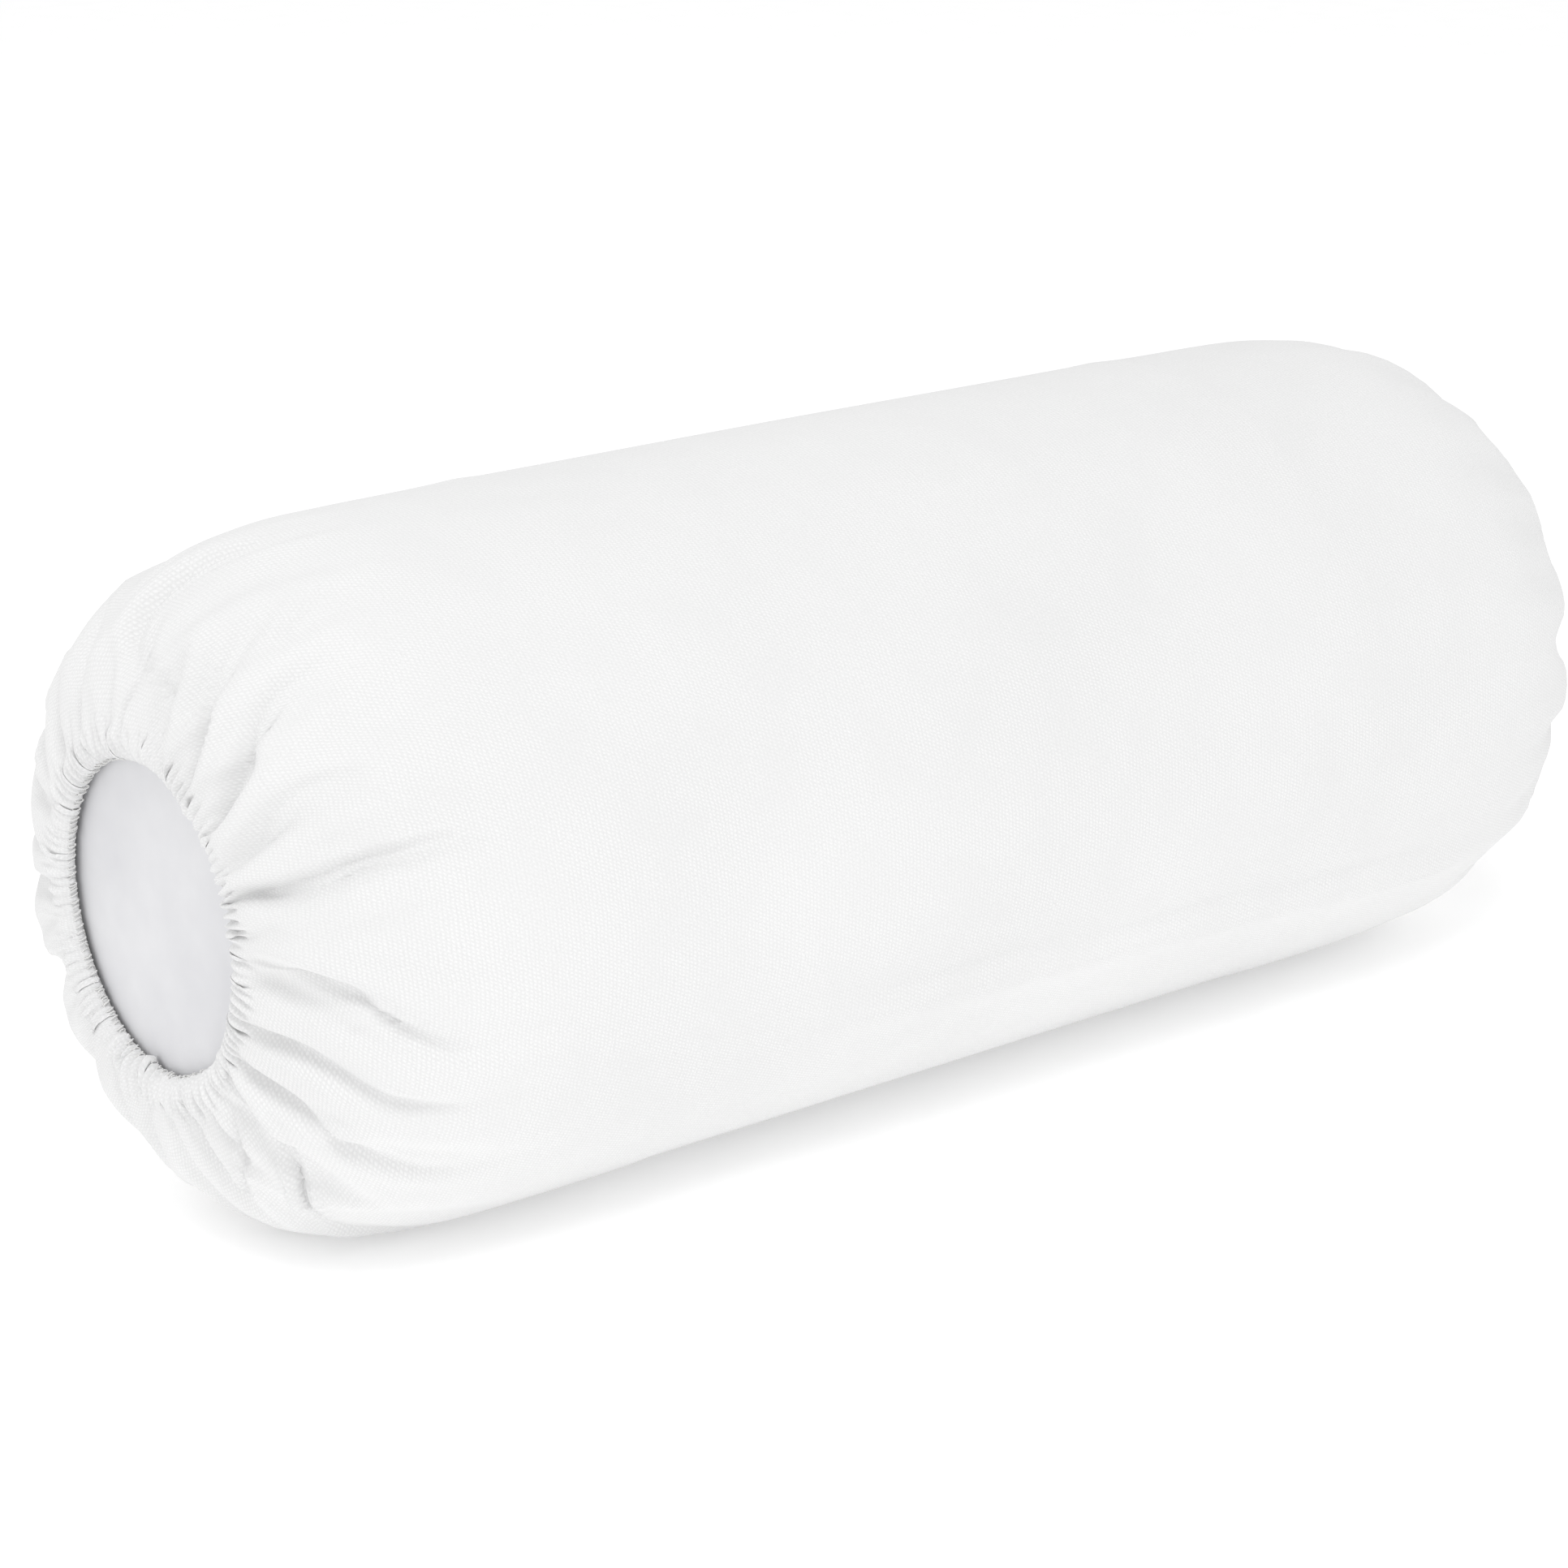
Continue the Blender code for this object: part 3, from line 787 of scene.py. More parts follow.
@dataclass(frozen=True)
class CoatedFabric:
    """Pale grey coated fabric: smooth and slightly glossy, with a fine leather-like grain."""

    name: str = "coated_fabric_pale_grey"
    light: str = "F0F0F1"
    dark: str = "E8E8EA"
    grain: float = 1.6 * MM
    cloud: float = 45 * MM
    relief: float = 0.07 * MM
    roughness: float = 0.52

    def material(self) -> bpy.types.Material:
        """Build the material."""
        made, tree, shader = new_material(self.name, roughness=self.roughness, specular=0.4)
        place = own_place(tree)
        look = {"feature": "SMOOTH_F1", "Scale": 1 / self.grain}
        grain = add_node(tree, "TexVoronoi", look, {"Vector": place}).outputs[0]
        height = calculate(tree, "ADD", grain, noise(tree, place, 2.5 / self.grain, 3.0))
        soft = noise(tree, place, 1 / (0.5 * self.cloud), 1.0)
        swell = add_node(tree, "Bump", {"Strength": 0.35, "Distance": 3 * MM}, {"Height": soft})
        emboss(tree, shader, height, 0.5, self.relief, swell.outputs[0])
        cloud = noise(tree, place, 1 / self.cloud, 3.0, 0.6)
        blend_two(tree, shader, cloud, self.dark, self.light)
        return made


@dataclass(frozen=True)
class SpunThread:
    """Sewing thread: plies twisted round each other, with a silky sheen."""

    name: str
    light: str
    dark: str
    ply: float = 0.5 * MM
    roughness: float = 0.6

    def material(self) -> bpy.types.Material:
        """Build the material."""
        made, tree, shader = new_material(self.name, roughness=self.roughness, specular=0.4)
        turned = add_node(tree, "Mapping", {"Rotation": (0.5, 0.4, 0.8)}, {"Vector": own_place(tree)})
        plies = threads(tree, turned.outputs["Vector"], "X", self.ply, 1.0)
        emboss(tree, shader, plies, 0.5, 0.1 * MM)
        blend_two(tree, shader, plies, self.dark, self.light)
        return made


@dataclass(frozen=True)
class WovenTape:
    """Narrow woven or knitted goods, with ribs across and a fine thread along."""

    name: str
    light: str
    dark: str
    rib: float = 1.2 * MM
    thread: float = 0.7 * MM
    roughness: float = 0.85

    def material(self) -> bpy.types.Material:
        """Build the material."""
        made, tree, shader = new_material(self.name, roughness=self.roughness, specular=0.25)
        place = own_place(tree)
        ribs = threads(tree, place, "X", self.rib, 0.6)
        along = threads(tree, place, "DIAGONAL", self.thread, 0.8)
        emboss(tree, shader, calculate(tree, "ADD", ribs, along), 0.7, 0.12 * MM)
        blend_two(tree, shader, along, self.dark, self.light)
        return made


@dataclass(frozen=True)
class MouldedNylon:
    """Nylon monofilament, drawn and heat-set: smooth and a little shiny."""

    name: str = "nylon_coil_grey"
    light: str = "B9BABC"
    dark: str = "A9AAAC"

    def material(self) -> bpy.types.Material:
        """Build the material."""
        made, tree, shader = new_material(self.name, roughness=0.38, specular=0.5)
        scuff = noise(tree, own_place(tree), 900.0, 3.0)
        emboss(tree, shader, scuff, 0.2, 0.05 * MM)
        blend_two(tree, shader, scuff, self.dark, self.light)
        return made


@dataclass(frozen=True)
class CastZinc:
    """Die-cast zinc with a tumbled nickel finish: fine tumbling marks soften its gloss."""

    name: str = "cast_zinc_nickel"
    light: str = "D2D1CE"
    dark: str = "B4B3B1"

    def material(self) -> bpy.types.Material:
        """Build the material."""
        made, tree, shader = new_material(self.name, roughness=0.3, specular=0.5)
        shader.inputs["Metallic"].default_value = 1.0
        marks = noise(tree, own_place(tree), 1400.0, 4.0, 0.7)
        rough = add_node(tree, "MapRange", {"To Min": 0.22, "To Max": 0.45}, {"Value": marks})
        tree.links.new(rough.outputs[0], shader.inputs["Roughness"])
        emboss(tree, shader, marks, 0.25, 0.04 * MM)
        blend_two(tree, shader, marks, self.dark, self.light)
        return made


@dataclass(frozen=True)
class Wadding:
    """Carded polyester wadding: loose fibres that lie in soft tufts."""

    name: str = "polyester_wadding"
    light: str = "FAFAFA"
    dark: str = "DDDDDC"
    tuft: float = 9 * MM
    fibre: float = 1.2 * MM

    def material(self) -> bpy.types.Material:
        """Build the material."""
        made, tree, shader = new_material(self.name, roughness=1.0, specular=0.1)
        shader.inputs["Sheen Weight"].default_value = 0.3
        place = own_place(tree)
        tufts = noise(tree, place, 1 / self.tuft, 3.0, distortion=0.8)
        fibres = noise(tree, place, 1 / self.fibre, 4.0, distortion=2.5)
        emboss(tree, shader, calculate(tree, "MULTIPLY_ADD", tufts, 3.0, fibres), 0.8, 1.2 * MM)
        blend_two(tree, shader, fibres, self.dark, self.light)
        return made


@dataclass(frozen=True)
class CutFoam:
    """Polyurethane foam cut with a hot wire: open cells, and a faint yellow."""

    name: str = "polyurethane_foam_cream"
    light: str = "F3ECD6"
    dark: str = "D9CFB2"
    cell: float = 1.5 * MM

    def material(self) -> bpy.types.Material:
        """Build the material."""
        made, tree, shader = new_material(self.name, roughness=1.0, specular=0.15)
        look = {"feature": "F1", "Scale": 1 / self.cell}
        cells = add_node(tree, "TexVoronoi", look, {"Vector": own_place(tree)}).outputs[0]
        emboss(tree, shader, cells, 0.9, 0.5 * MM)
        blend_two(tree, shader, cells, self.light, self.dark)
        return made


@dataclass(frozen=True)
class SweepPaint:
    """The matt white paint of a studio floor, with a trace of its roller's texture."""

    name: str = "studio_floor_white"
    light: str = "FCFCFC"
    dark: str = "FAFAFA"
    glow: float = 0.22

    def material(self) -> bpy.types.Material:
        """Build the material, lit from below a little, as a light table is."""
        made, tree, shader = new_material(self.name, roughness=1.0, specular=0.0)
        shader.inputs["Emission Color"].default_value = (1, 1, 1, 1)
        shader.inputs["Emission Strength"].default_value = self.glow
        blend_two(tree, shader, noise(tree, own_place(tree), 30.0, 2.0), self.dark, self.light)
        return made


def new_material(
    name: str, roughness: float, specular: float
) -> tuple[bpy.types.Material, bpy.types.NodeTree, bpy.types.Node]:
    """Start a material.

    Args:
        name: the real material's name.
        roughness: the shader's roughness.
        specular: the shader's specular level.

    Returns:
        The material, its node tree and its shader.
    """
    made = bpy.data.materials.new(name)
    made.use_nodes = True
    shader = made.node_tree.nodes["Principled BSDF"]
    shader.inputs["Roughness"].default_value = roughness
    shader.inputs["Specular IOR Level"].default_value = specular
    return made, made.node_tree, shader


def blend_two(
    tree: bpy.types.NodeTree, shader: bpy.types.Node, share: bpy.types.NodeSocket, low: str, high: str
) -> None:
    """Colour a shader between two tones.

    Args:
        tree: the material's tree.
        shader: its shader.
        share: pattern that chooses between the tones, around one half.
        low: hex tone where the pattern is low.
        high: hex tone where it is high.
    """
    ramp = add_node(tree, "ValToRGB", {}, {"Fac": share})
    ramp.color_ramp.elements[0].position = 0.3
    ramp.color_ramp.elements[1].position = 0.7
    ramp.color_ramp.elements[0].color = linear(low)
    ramp.color_ramp.elements[1].color = linear(high)
    tree.links.new(ramp.outputs["Color"], shader.inputs["Base Color"])


def own_place(tree: bpy.types.NodeTree) -> bpy.types.NodeSocket:
    """A piece's own coordinates, in metres."""
    return add_node(tree, "TexCoord").outputs["Object"]


def noise(
    tree: bpy.types.NodeTree,
    place: bpy.types.NodeSocket,
    scale: float,
    detail: float,
    roughness: float = 0.5,
    distortion: float = 0.0,
) -> bpy.types.NodeSocket:
    """Add a cloudy pattern.

    Args:
        tree: the material's tree.
        place: coordinates that the pattern follows.
        scale: how many clouds lie in a metre.
        detail: how many finer layers it has.
        roughness: how strong each finer layer is.
        distortion: how much it swirls.

    Returns:
        The pattern, from 0 to 1.
    """
    look = {"Scale": scale, "Detail": detail, "Roughness": roughness, "Distortion": distortion}
    return add_node(tree, "TexNoise", look, {"Vector": place}).outputs[0]


def threads(
    tree: bpy.types.NodeTree,
    place: bpy.types.NodeSocket,
    direction: str,
    pitch: float,
    distortion: float,
    wander: float = 1.0,
) -> bpy.types.NodeSocket:
    """Add a pattern of side-by-side threads.

    Args:
        tree: the material's tree.
        place: coordinates that the pattern follows.
        direction: the axis that they follow each other along, or DIAGONAL.
        pitch: distance between two threads.
        distortion: how crooked they are.
        wander: how closely their crooks follow each other.

    Returns:
        The pattern, from 0 to 1.
    """
    look = {"bands_direction": direction, "Scale": WAVE_SCALE / pitch, "Distortion": distortion,
            "Detail": 2.0, "Detail Scale": wander}
    return add_node(tree, "TexWave", look, {"Vector": place}).outputs[1]


def calculate(
    tree: bpy.types.NodeTree, operation: str, *terms: bpy.types.NodeSocket | float
) -> bpy.types.NodeSocket:
    """Add a sum or a product of patterns and plain numbers.

    Args:
        tree: the material's tree.
        operation: the math node's operation.
        terms: what it takes, in order.

    Returns:
        The result.
    """
    numbers = {index: term for index, term in enumerate(terms) if isinstance(term, float)}
    sockets = {index: term for index, term in enumerate(terms) if not isinstance(term, float)}
    return add_node(tree, "Math", {"operation": operation, **numbers}, sockets).outputs[0]


def emboss(
    tree: bpy.types.NodeTree,
    shader: bpy.types.Node,
    height: bpy.types.NodeSocket,
    strength: float,
    depth: float,
    under: bpy.types.NodeSocket | None = None,
) -> None:
    """Give a shader's surface a relief.

    Args:
        tree: the material's tree.
        shader: its shader.
        height: the pattern that stands out.
        strength: how strongly it shows.
        depth: how far it stands out.
        under: the normal of a broader relief that it lies on.
    """
    links = {"Height": height}
    if under is not None:
        links["Normal"] = under
    bump = add_node(tree, "Bump", {"Strength": strength, "Distance": depth}, links)
    tree.links.new(bump.outputs[0], shader.inputs["Normal"])


# ---------------------------------------------------------------- repeated shapes
def stitch_loop(width: float, height: float, thread: float) -> bmesh.types.BMesh:
    """One closed loop of thread in the YZ plane, with 5 by 8 faces.

    Args:
        width: across the loop, along Y.
        height: across the loop, along Z.
        thread: radius of the thread.

    Returns:
        The loop.
    """
    made = bmesh.new()
    bmesh.ops.create_circle(made, segments=5, radius=thread)
    bmesh.ops.rotate(made, verts=made.verts, cent=(0, 0, 0), matrix=Matrix.Rotation(math.pi / 2, 3, "Y"))
    bmesh.ops.rotate(made, verts=made.verts, cent=(0, 0, 0), matrix=Matrix.Rotation(math.pi / 2, 3, "Z"))
    bmesh.ops.translate(made, verts=made.verts, vec=(0, 0, 1.0))
    spin_round(made, made.verts[:] + made.edges[:], 8)
    for vert in made.verts:
        ring = Vector((0, vert.co.y, vert.co.z))
        out = ring.length - 1.0
        unit = ring.normalized()
        vert.co.y = unit.y * (width / 2 + out)
        vert.co.z = unit.z * (height / 2 + out)
    bmesh.ops.recalc_face_normals(made, faces=made.faces)
    return made


def capsule(length: float, radius: float) -> bmesh.types.BMesh:
    """A short stitch along X with rounded ends.

    Args:
        length: over its ends.
        radius: of its thread.

    Returns:
        The stitch.
    """
    made = bmesh.new()
    bmesh.ops.create_uvsphere(made, u_segments=6, v_segments=4, radius=radius)
    bmesh.ops.rotate(made, verts=made.verts, cent=(0, 0, 0), matrix=Matrix.Rotation(math.pi / 2, 3, "Y"))
    for side in (-1, 1):
        half = [vert for vert in made.verts if vert.co.x * side > WELD]
        bmesh.ops.translate(made, verts=half, vec=(side * (length / 2 - radius), 0, 0))
    return made


def repeat(pattern: bmesh.types.BMesh, places: Iterable[Matrix]) -> bmesh.types.BMesh:
    """Copy a shape to many places.

    Args:
        pattern: the shape, which is freed here.
        places: where each copy goes.

    Returns:
        All the copies in one bmesh.
    """
    template = bpy.data.meshes.new("template")
    pattern.to_mesh(template)
    pattern.free()
    made = bmesh.new()
    for place in places:
        made.verts.ensure_lookup_table()
        count = len(made.verts)
        made.from_mesh(template)
        made.verts.ensure_lookup_table()
        bmesh.ops.transform(made, matrix=place, verts=made.verts[count:])
    bpy.data.meshes.remove(template)
    return made


def frame_matrix(origin: Vector, along: Vector, across: Vector) -> Matrix:
    """A turned place: X goes along, Y goes across, Z completes them.

    Args:
        origin: the place's centre.
        along: direction of its X axis.
        across: direction near its Y axis.

    Returns:
        The place as a matrix.
    """
    x_axis = along.normalized()
    z_axis = x_axis.cross(across).normalized()
    y_axis = z_axis.cross(x_axis)
    turned = Matrix((x_axis, y_axis, z_axis)).transposed().to_4x4()
    turned.translation = origin
    return turned


# ---------------------------------------------------------------- cover
# Soft folds that run on along the barrel. The long one low on the front is where the cloth sags.
LONG_FOLDS = (
    (288.0, 298.0, -0.13, 0.300, -1.3, 4.0),
    (294.0, 304.0, -0.12, 0.300, 3.0, 8.0),
    (276.0, 284.0, -0.20, -0.040, 0.9, 8.0),
    (318.0, 326.0, -0.20, 0.060, 1.0, 9.0),
    (182.0, 190.0, -0.20, -0.100, -0.9, 6.0),
    (222.0, 236.0, -0.18, 0.020, 0.7, 16.0),
    (200.0, 214.0, -0.05, 0.220, 0.7, 18.0),
    (250.0, 246.0, 0.00, 0.280, 0.8, 16.0),
    (152.0, 140.0, -0.22, 0.100, 0.8, 14.0),
    (120.0, 112.0, -0.05, 0.260, 0.9, 12.0),
    (92.0, 84.0, -0.26, 0.120, -0.9, 8.0),
    (70.0, 62.0, -0.20, 0.240, 0.9, 10.0),
)


def long_relief(turn: np.ndarray, x: np.ndarray) -> np.ndarray:
    """How far the soft folds along the barrel lift the cloth.

    Args:
        turn: angle of each point.
        x: place of each point along the bolster.

    Returns:
        The lift, in metres.
    """
    lift = np.zeros_like(turn)
    for first, last, start, end, height, width in LONG_FOLDS:
        share = np.clip((x - start) / (end - start), 0, 1)
        across = wrapped(turn - np.radians(first + (last - first) * share)) * COVER_RADIUS / (width * MM)
        length = smoothstep(start, start + 0.05, x) * (1 - smoothstep(end - 0.06, end, x))
        lift += height * MM * np.exp(-(across**2)) * length
    lift += 0.35 * MM * np.sin(3 * turn + 9 * x) * np.sin(14 * x + 1.1)
    return lift * smoothstep(math.radians(22), math.radians(42), np.abs(wrapped(turn)))


@dataclass(frozen=True)
class EndCut:
    """How finely one end keeps its settled net. Rows are counted from the cloth's edge."""

    every_row: int  # up to here every row stays
    second_row: int  # up to here every second one, and then every third
    every_column: int  # up to this row every column stays
    second_column: int  # up to this row every second one, and then every fourth
    easing: int  # passes that smooth the net first

    def rows(self, count: int) -> list[int]:
        """The rows that stay, of so many."""
        kept = [*range(self.every_row), *range(self.every_row, self.second_row, 2)]
        return [*kept, *range(self.second_row, count, 3)]

    def column_step(self, row: int) -> int:
        """How many columns apart the points of a row are."""
        if row < self.every_column:
            return 1
        return 2 if row < self.second_column else 4


NEAR_CUT = EndCut(every_row=13, second_row=45, every_column=72, second_column=96, easing=7)
FAR_CUT = EndCut(every_row=7, second_row=7, every_column=7, second_column=40, easing=24)

# Inset of each row of the turned-in lip, and the share of the hem's waviness that it keeps.
LIP_ROWS = ((6.9 * MM, 0.6), (5.8 * MM, 0.8))
LIP_LENGTH = 2.4 * MM
LIP_STEP = 1.1 * MM


@dataclass
class Cover:
    """The cotton cover: a gathered tube of cloth, its elastic, its overlocked edges and its seam."""

    cloth_thickness: float = 0.5 * MM
    flat_girth: float = 0.785
    flat_length: float = 0.690
    barrel_pitch: float = 0.0090
    settle_depth: float = 1.0 * MM
    stitches: int = 236
    thread_radius: float = 0.32 * MM
    seam_thread_radius: float = 0.17 * MM
    seam_pitch: float = 2.4 * MM
    near: list[np.ndarray] = field(default_factory=list)
    far: list[np.ndarray] = field(default_factory=list)
    near_runs: list[float] = field(default_factory=list)
    far_runs: list[float] = field(default_factory=list)

    def solve(self) -> None:
        """Settle one gathered end, and use it at both ends, the far one turned half round and softer."""
        end = GatheredEnd()
        settled = end.solve()
        turn, run, _, _ = end.grid(end.fine_columns)
        nets = {
            Side.NEAR: end.crease(settled, CRISP_CREASES, NEAR_CUT.easing),
            Side.FAR: end.crease(settled, (), FAR_CUT.easing),
        }
        self.shape_ends(nets, turn, run)

    def shape_ends(self, nets: dict[Side, np.ndarray], end_turn: np.ndarray, end_run: np.ndarray) -> None:
        """Place a settled net at each end, and lay the barrel's soft folds over it.

        Args:
            nets: for each end, rows of (inset, y, z) about the axis.
            end_turn: angle of each point.
            end_run: distance of each point along the cloth.
        """
        for side in Side:
            net, turn, run = self.with_lip(nets[side], end_turn, end_run)
            weight = smoothstep(0.105, 0.150, run)
            x = side.value * (HALF_LENGTH - net[..., 0])
            points = np.stack([x, -side.value * net[..., 1], net[..., 2]], -1)
            angle = turn if side is Side.NEAR else -turn
            points = self.with_long_folds(points, angle, weight)
            if side is Side.FAR:
                points = np.roll(points[:, ::-1], 1, axis=1)
            near = side is Side.NEAR
            rings, runs, cut = (
                (self.near, self.near_runs, NEAR_CUT) if near else (self.far, self.far_runs, FAR_CUT)
            )
            for row in cut.rows(len(net)):
                rings.append(points[row, :: cut.column_step(row)])
                runs.append(float(run[row, 0]))

    def with_lip(
        self, net: np.ndarray, turn: np.ndarray, run: np.ndarray
    ) -> tuple[np.ndarray, np.ndarray, np.ndarray]:
        """Turn the cloth's edge in behind the hem, where its overlocked edge lies.

        Args:
            net: rows of (inset, y, z) about the axis.
            turn: angle of each point.
            run: distance of each point along the cloth.

        Returns:
            The three with the lip's rows in front.
        """
        out = np.hypot(net[0, :, 1], net[0, :, 2])
        rows = []
        for depth, share in LIP_ROWS:
            radius = EDGE_RADIUS - 0.2 * MM + share * (out - EDGE_RADIUS)
            ring = net[0].copy()
            ring[:, 0] = depth + 0.3 * share * (ring[:, 0] - HEM_INSET)
            ring[:, 1:] *= (radius / out)[:, None]
            rows.append(ring)
        net = np.concatenate([np.array(rows), net])
        turn = np.concatenate([turn[:2], turn])
        run = np.concatenate([np.zeros_like(run[:1]), np.full_like(run[:1], LIP_STEP), run + LIP_LENGTH])
        return net, turn, run

    def with_long_folds(self, points: np.ndarray, angle: np.ndarray, weight: np.ndarray) -> np.ndarray:
        """Lay the soft folds over points about the axis, keep them off the ground, and lift them to
        the axis's height."""
        radius = np.hypot(points[..., 1], points[..., 2])
        grow = 1 + weight * long_relief(angle, points[..., 0]) / radius
        y, z = points[..., 1] * grow, points[..., 2] * grow + AXIS_HEIGHT
        z = self.settle_depth * np.logaddexp(0, z / self.settle_depth)
        return np.stack([points[..., 0], y, z], -1)

    def barrel(self) -> tuple[list[np.ndarray], list[float]]:
        """Rings of the barrel between the two ends, with their places along the cloth."""
        first, last = self.near[-1], self.far[-1]
        columns = len(first)
        start, end = float(first[:, 0].mean()), float(last[:, 0].mean())
        count = round((end - start) / self.barrel_pitch)
        angle = np.arange(columns) * FULL_TURN / columns
        rings, runs = [], []
        base = COVER_RADIUS - 0.3 * MM
        for index in range(1, count):
            x = np.full(columns, start + (end - start) * index / count)
            points = np.stack([x, base * np.sin(angle), -base * np.cos(angle)], -1)
            rings.append(self.with_long_folds(points, angle, np.ones(columns)))
            runs.append(self.near_runs[-1] + (end - start) * index / count)
        return rings, runs

    def panel(self, finish: bpy.types.Material) -> bpy.types.Object:
        """The tube of cloth, with its thickness."""
        middle, middle_runs = self.barrel()
        total = middle_runs[-1] + self.barrel_pitch + self.far_runs[-1]
        rows = [*self.near, *middle, *self.far[::-1]]
        runs = [*self.near_runs, *middle_runs, *[total - run for run in self.far_runs[::-1]]]
        made = sheet_mesh(rows, runs, self.flat_girth)
        panel = finish_mesh("cover_cloth", made, finish, Body.COVER, ["cover_panel"],
                            recalculate=False)
        thicken(panel, "cloth_thickness", self.cloth_thickness)
        return panel

    def overlock(self, side: Side, finish: bpy.types.Material) -> bpy.types.Object:
        """Loops of thread that wrap the raw edge of one mouth.

        Args:
            side: which mouth.
            finish: the thread.

        Returns:
            The stitched edge.
        """
        rows = self.near if side is Side.NEAR else self.far
        edge, behind = rows[1], rows[2]
        columns = len(edge)
        length = np.linalg.norm(np.roll(edge, -1, 0) - edge, axis=1)
        along_edge = np.concatenate([[0], np.cumsum(length)])
        places = []
        for index in range(self.stitches):
            at = float(np.interp(along_edge[-1] * index / self.stitches, along_edge, np.arange(columns + 1)))
            low, share = int(at) % columns, at - int(at)
            high = (low + 1) % columns
            point = Vector(edge[low] * (1 - share) + edge[high] * share)
            inward = Vector(behind[low] * (1 - share) + behind[high] * share) - point
            tangent = (Vector(edge[high]) - Vector(edge[low])).normalized()
            inward.normalize()
            normal = tangent.cross(inward).normalized()
            lean = (tangent + 0.35 * inward).normalized()
            centre = point - normal * self.cloth_thickness * 0.5 * side.value
            places.append(frame_matrix(centre, lean, inward))
        made = repeat(stitch_loop(2.7 * MM, 1.15 * MM, self.thread_radius), places)
        return finish_mesh(
            f"cover_edge_stitches_{side.label}", made, finish, Body.COVER,
            [f"cover_hem_overlock_{side.label}"], recalculate=False,
        )

    def elastic(self, side: Side, finish: bpy.types.Material) -> bpy.types.Object:
        """The flat knitted elastic behind one gathered hem, rippled by its tension."""
        low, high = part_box(f"cover_elastic_{side.label}")
        x_middle = (low.x + high.x) / 2
        made = bmesh.new()
        inner, outer, half = EDGE_RADIUS + 1.2 * MM, EDGE_RADIUS + 5.9 * MM, 0.25 * MM
        radii = (inner, (inner + outer) / 2, outer)
        corners = [(x_middle - half, radius) for radius in radii]
        corners += [(x_middle + half, radius) for radius in reversed(radii)]
        verts = [made.verts.new((x, 0, -radius)) for x, radius in corners]
        edges = [made.edges.new(pair) for pair in zip(verts, verts[1:] + verts[:1])]
        spin_round(made, verts + edges, 240)
        for vert in made.verts:
            angle = math.atan2(vert.co.y, -vert.co.z)
            vert.co.x += 0.12 * MM * math.sin(60 * angle)
        bmesh.ops.translate(made, verts=made.verts, vec=(0, 0, AXIS_HEIGHT))
        return finish_mesh(f"cover_elastic_band_{side.label}", made, finish, Body.COVER,
                           [f"cover_elastic_{side.label}"])

    def seam(self, finish: bpy.types.Material) -> bpy.types.Object:
        """The flat overlocked seam inside the cloth, under the bolster: a zigzag between two rows."""
        low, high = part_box("cover_seam_overlock")
        pitch, thread = self.seam_pitch, self.seam_thread_radius
        count = int((high.x - low.x) / pitch)
        z = (low.z + high.z) / 2
        places, width = [], (high.y - low.y) * 0.82
        for index in range(count):
            x = low.x + pitch * (index + 0.5)
            lean = Vector((pitch * 0.5, width * (1 if index % 2 else -1), 0))
            places.append(frame_matrix(Vector((x, 0, z)), lean, Vector((0, 0, 1))))
        made = repeat(capsule(math.hypot(width, pitch * 0.5), thread), places)
        along = []
        for side in (-1, 1):
            for index in range(count):
                x = low.x + pitch * (index + 0.5)
                along.append(Matrix.Translation((x, side * (width / 2 + 0.05 * MM), z)))
        rows = repeat(capsule(pitch * 0.98, thread), along)
        join(made, rows)
        return finish_mesh("cover_seam_stitches", made, finish, Body.COVER,
                           ["cover_seam_overlock"], recalculate=False)

    def build(self) -> list[bpy.types.Object]:
        """Build and dress the cover."""
        self.solve()
        cotton = BrushedCotton().material()
        thread = SpunThread("polyester_overlock_thread_white", "F4F4F3", "DCDCDA").material()
        knit = WovenTape("knitted_elastic_white", "EEEEEC", "D2D2CF").material()
        panel = self.panel(cotton)
        edges = [self.overlock(side, thread) for side in Side]
        bands = [self.elastic(side, knit) for side in Side]
        seam = self.seam(thread)
        return [panel, *edges, *bands, seam]


def join(made: bmesh.types.BMesh, other: bmesh.types.BMesh) -> None:
    """Add a second bmesh, which is freed, to a first one."""
    carrier = bpy.data.meshes.new("carrier")
    other.to_mesh(carrier)
    other.free()
    made.from_mesh(carrier)
    bpy.data.meshes.remove(carrier)


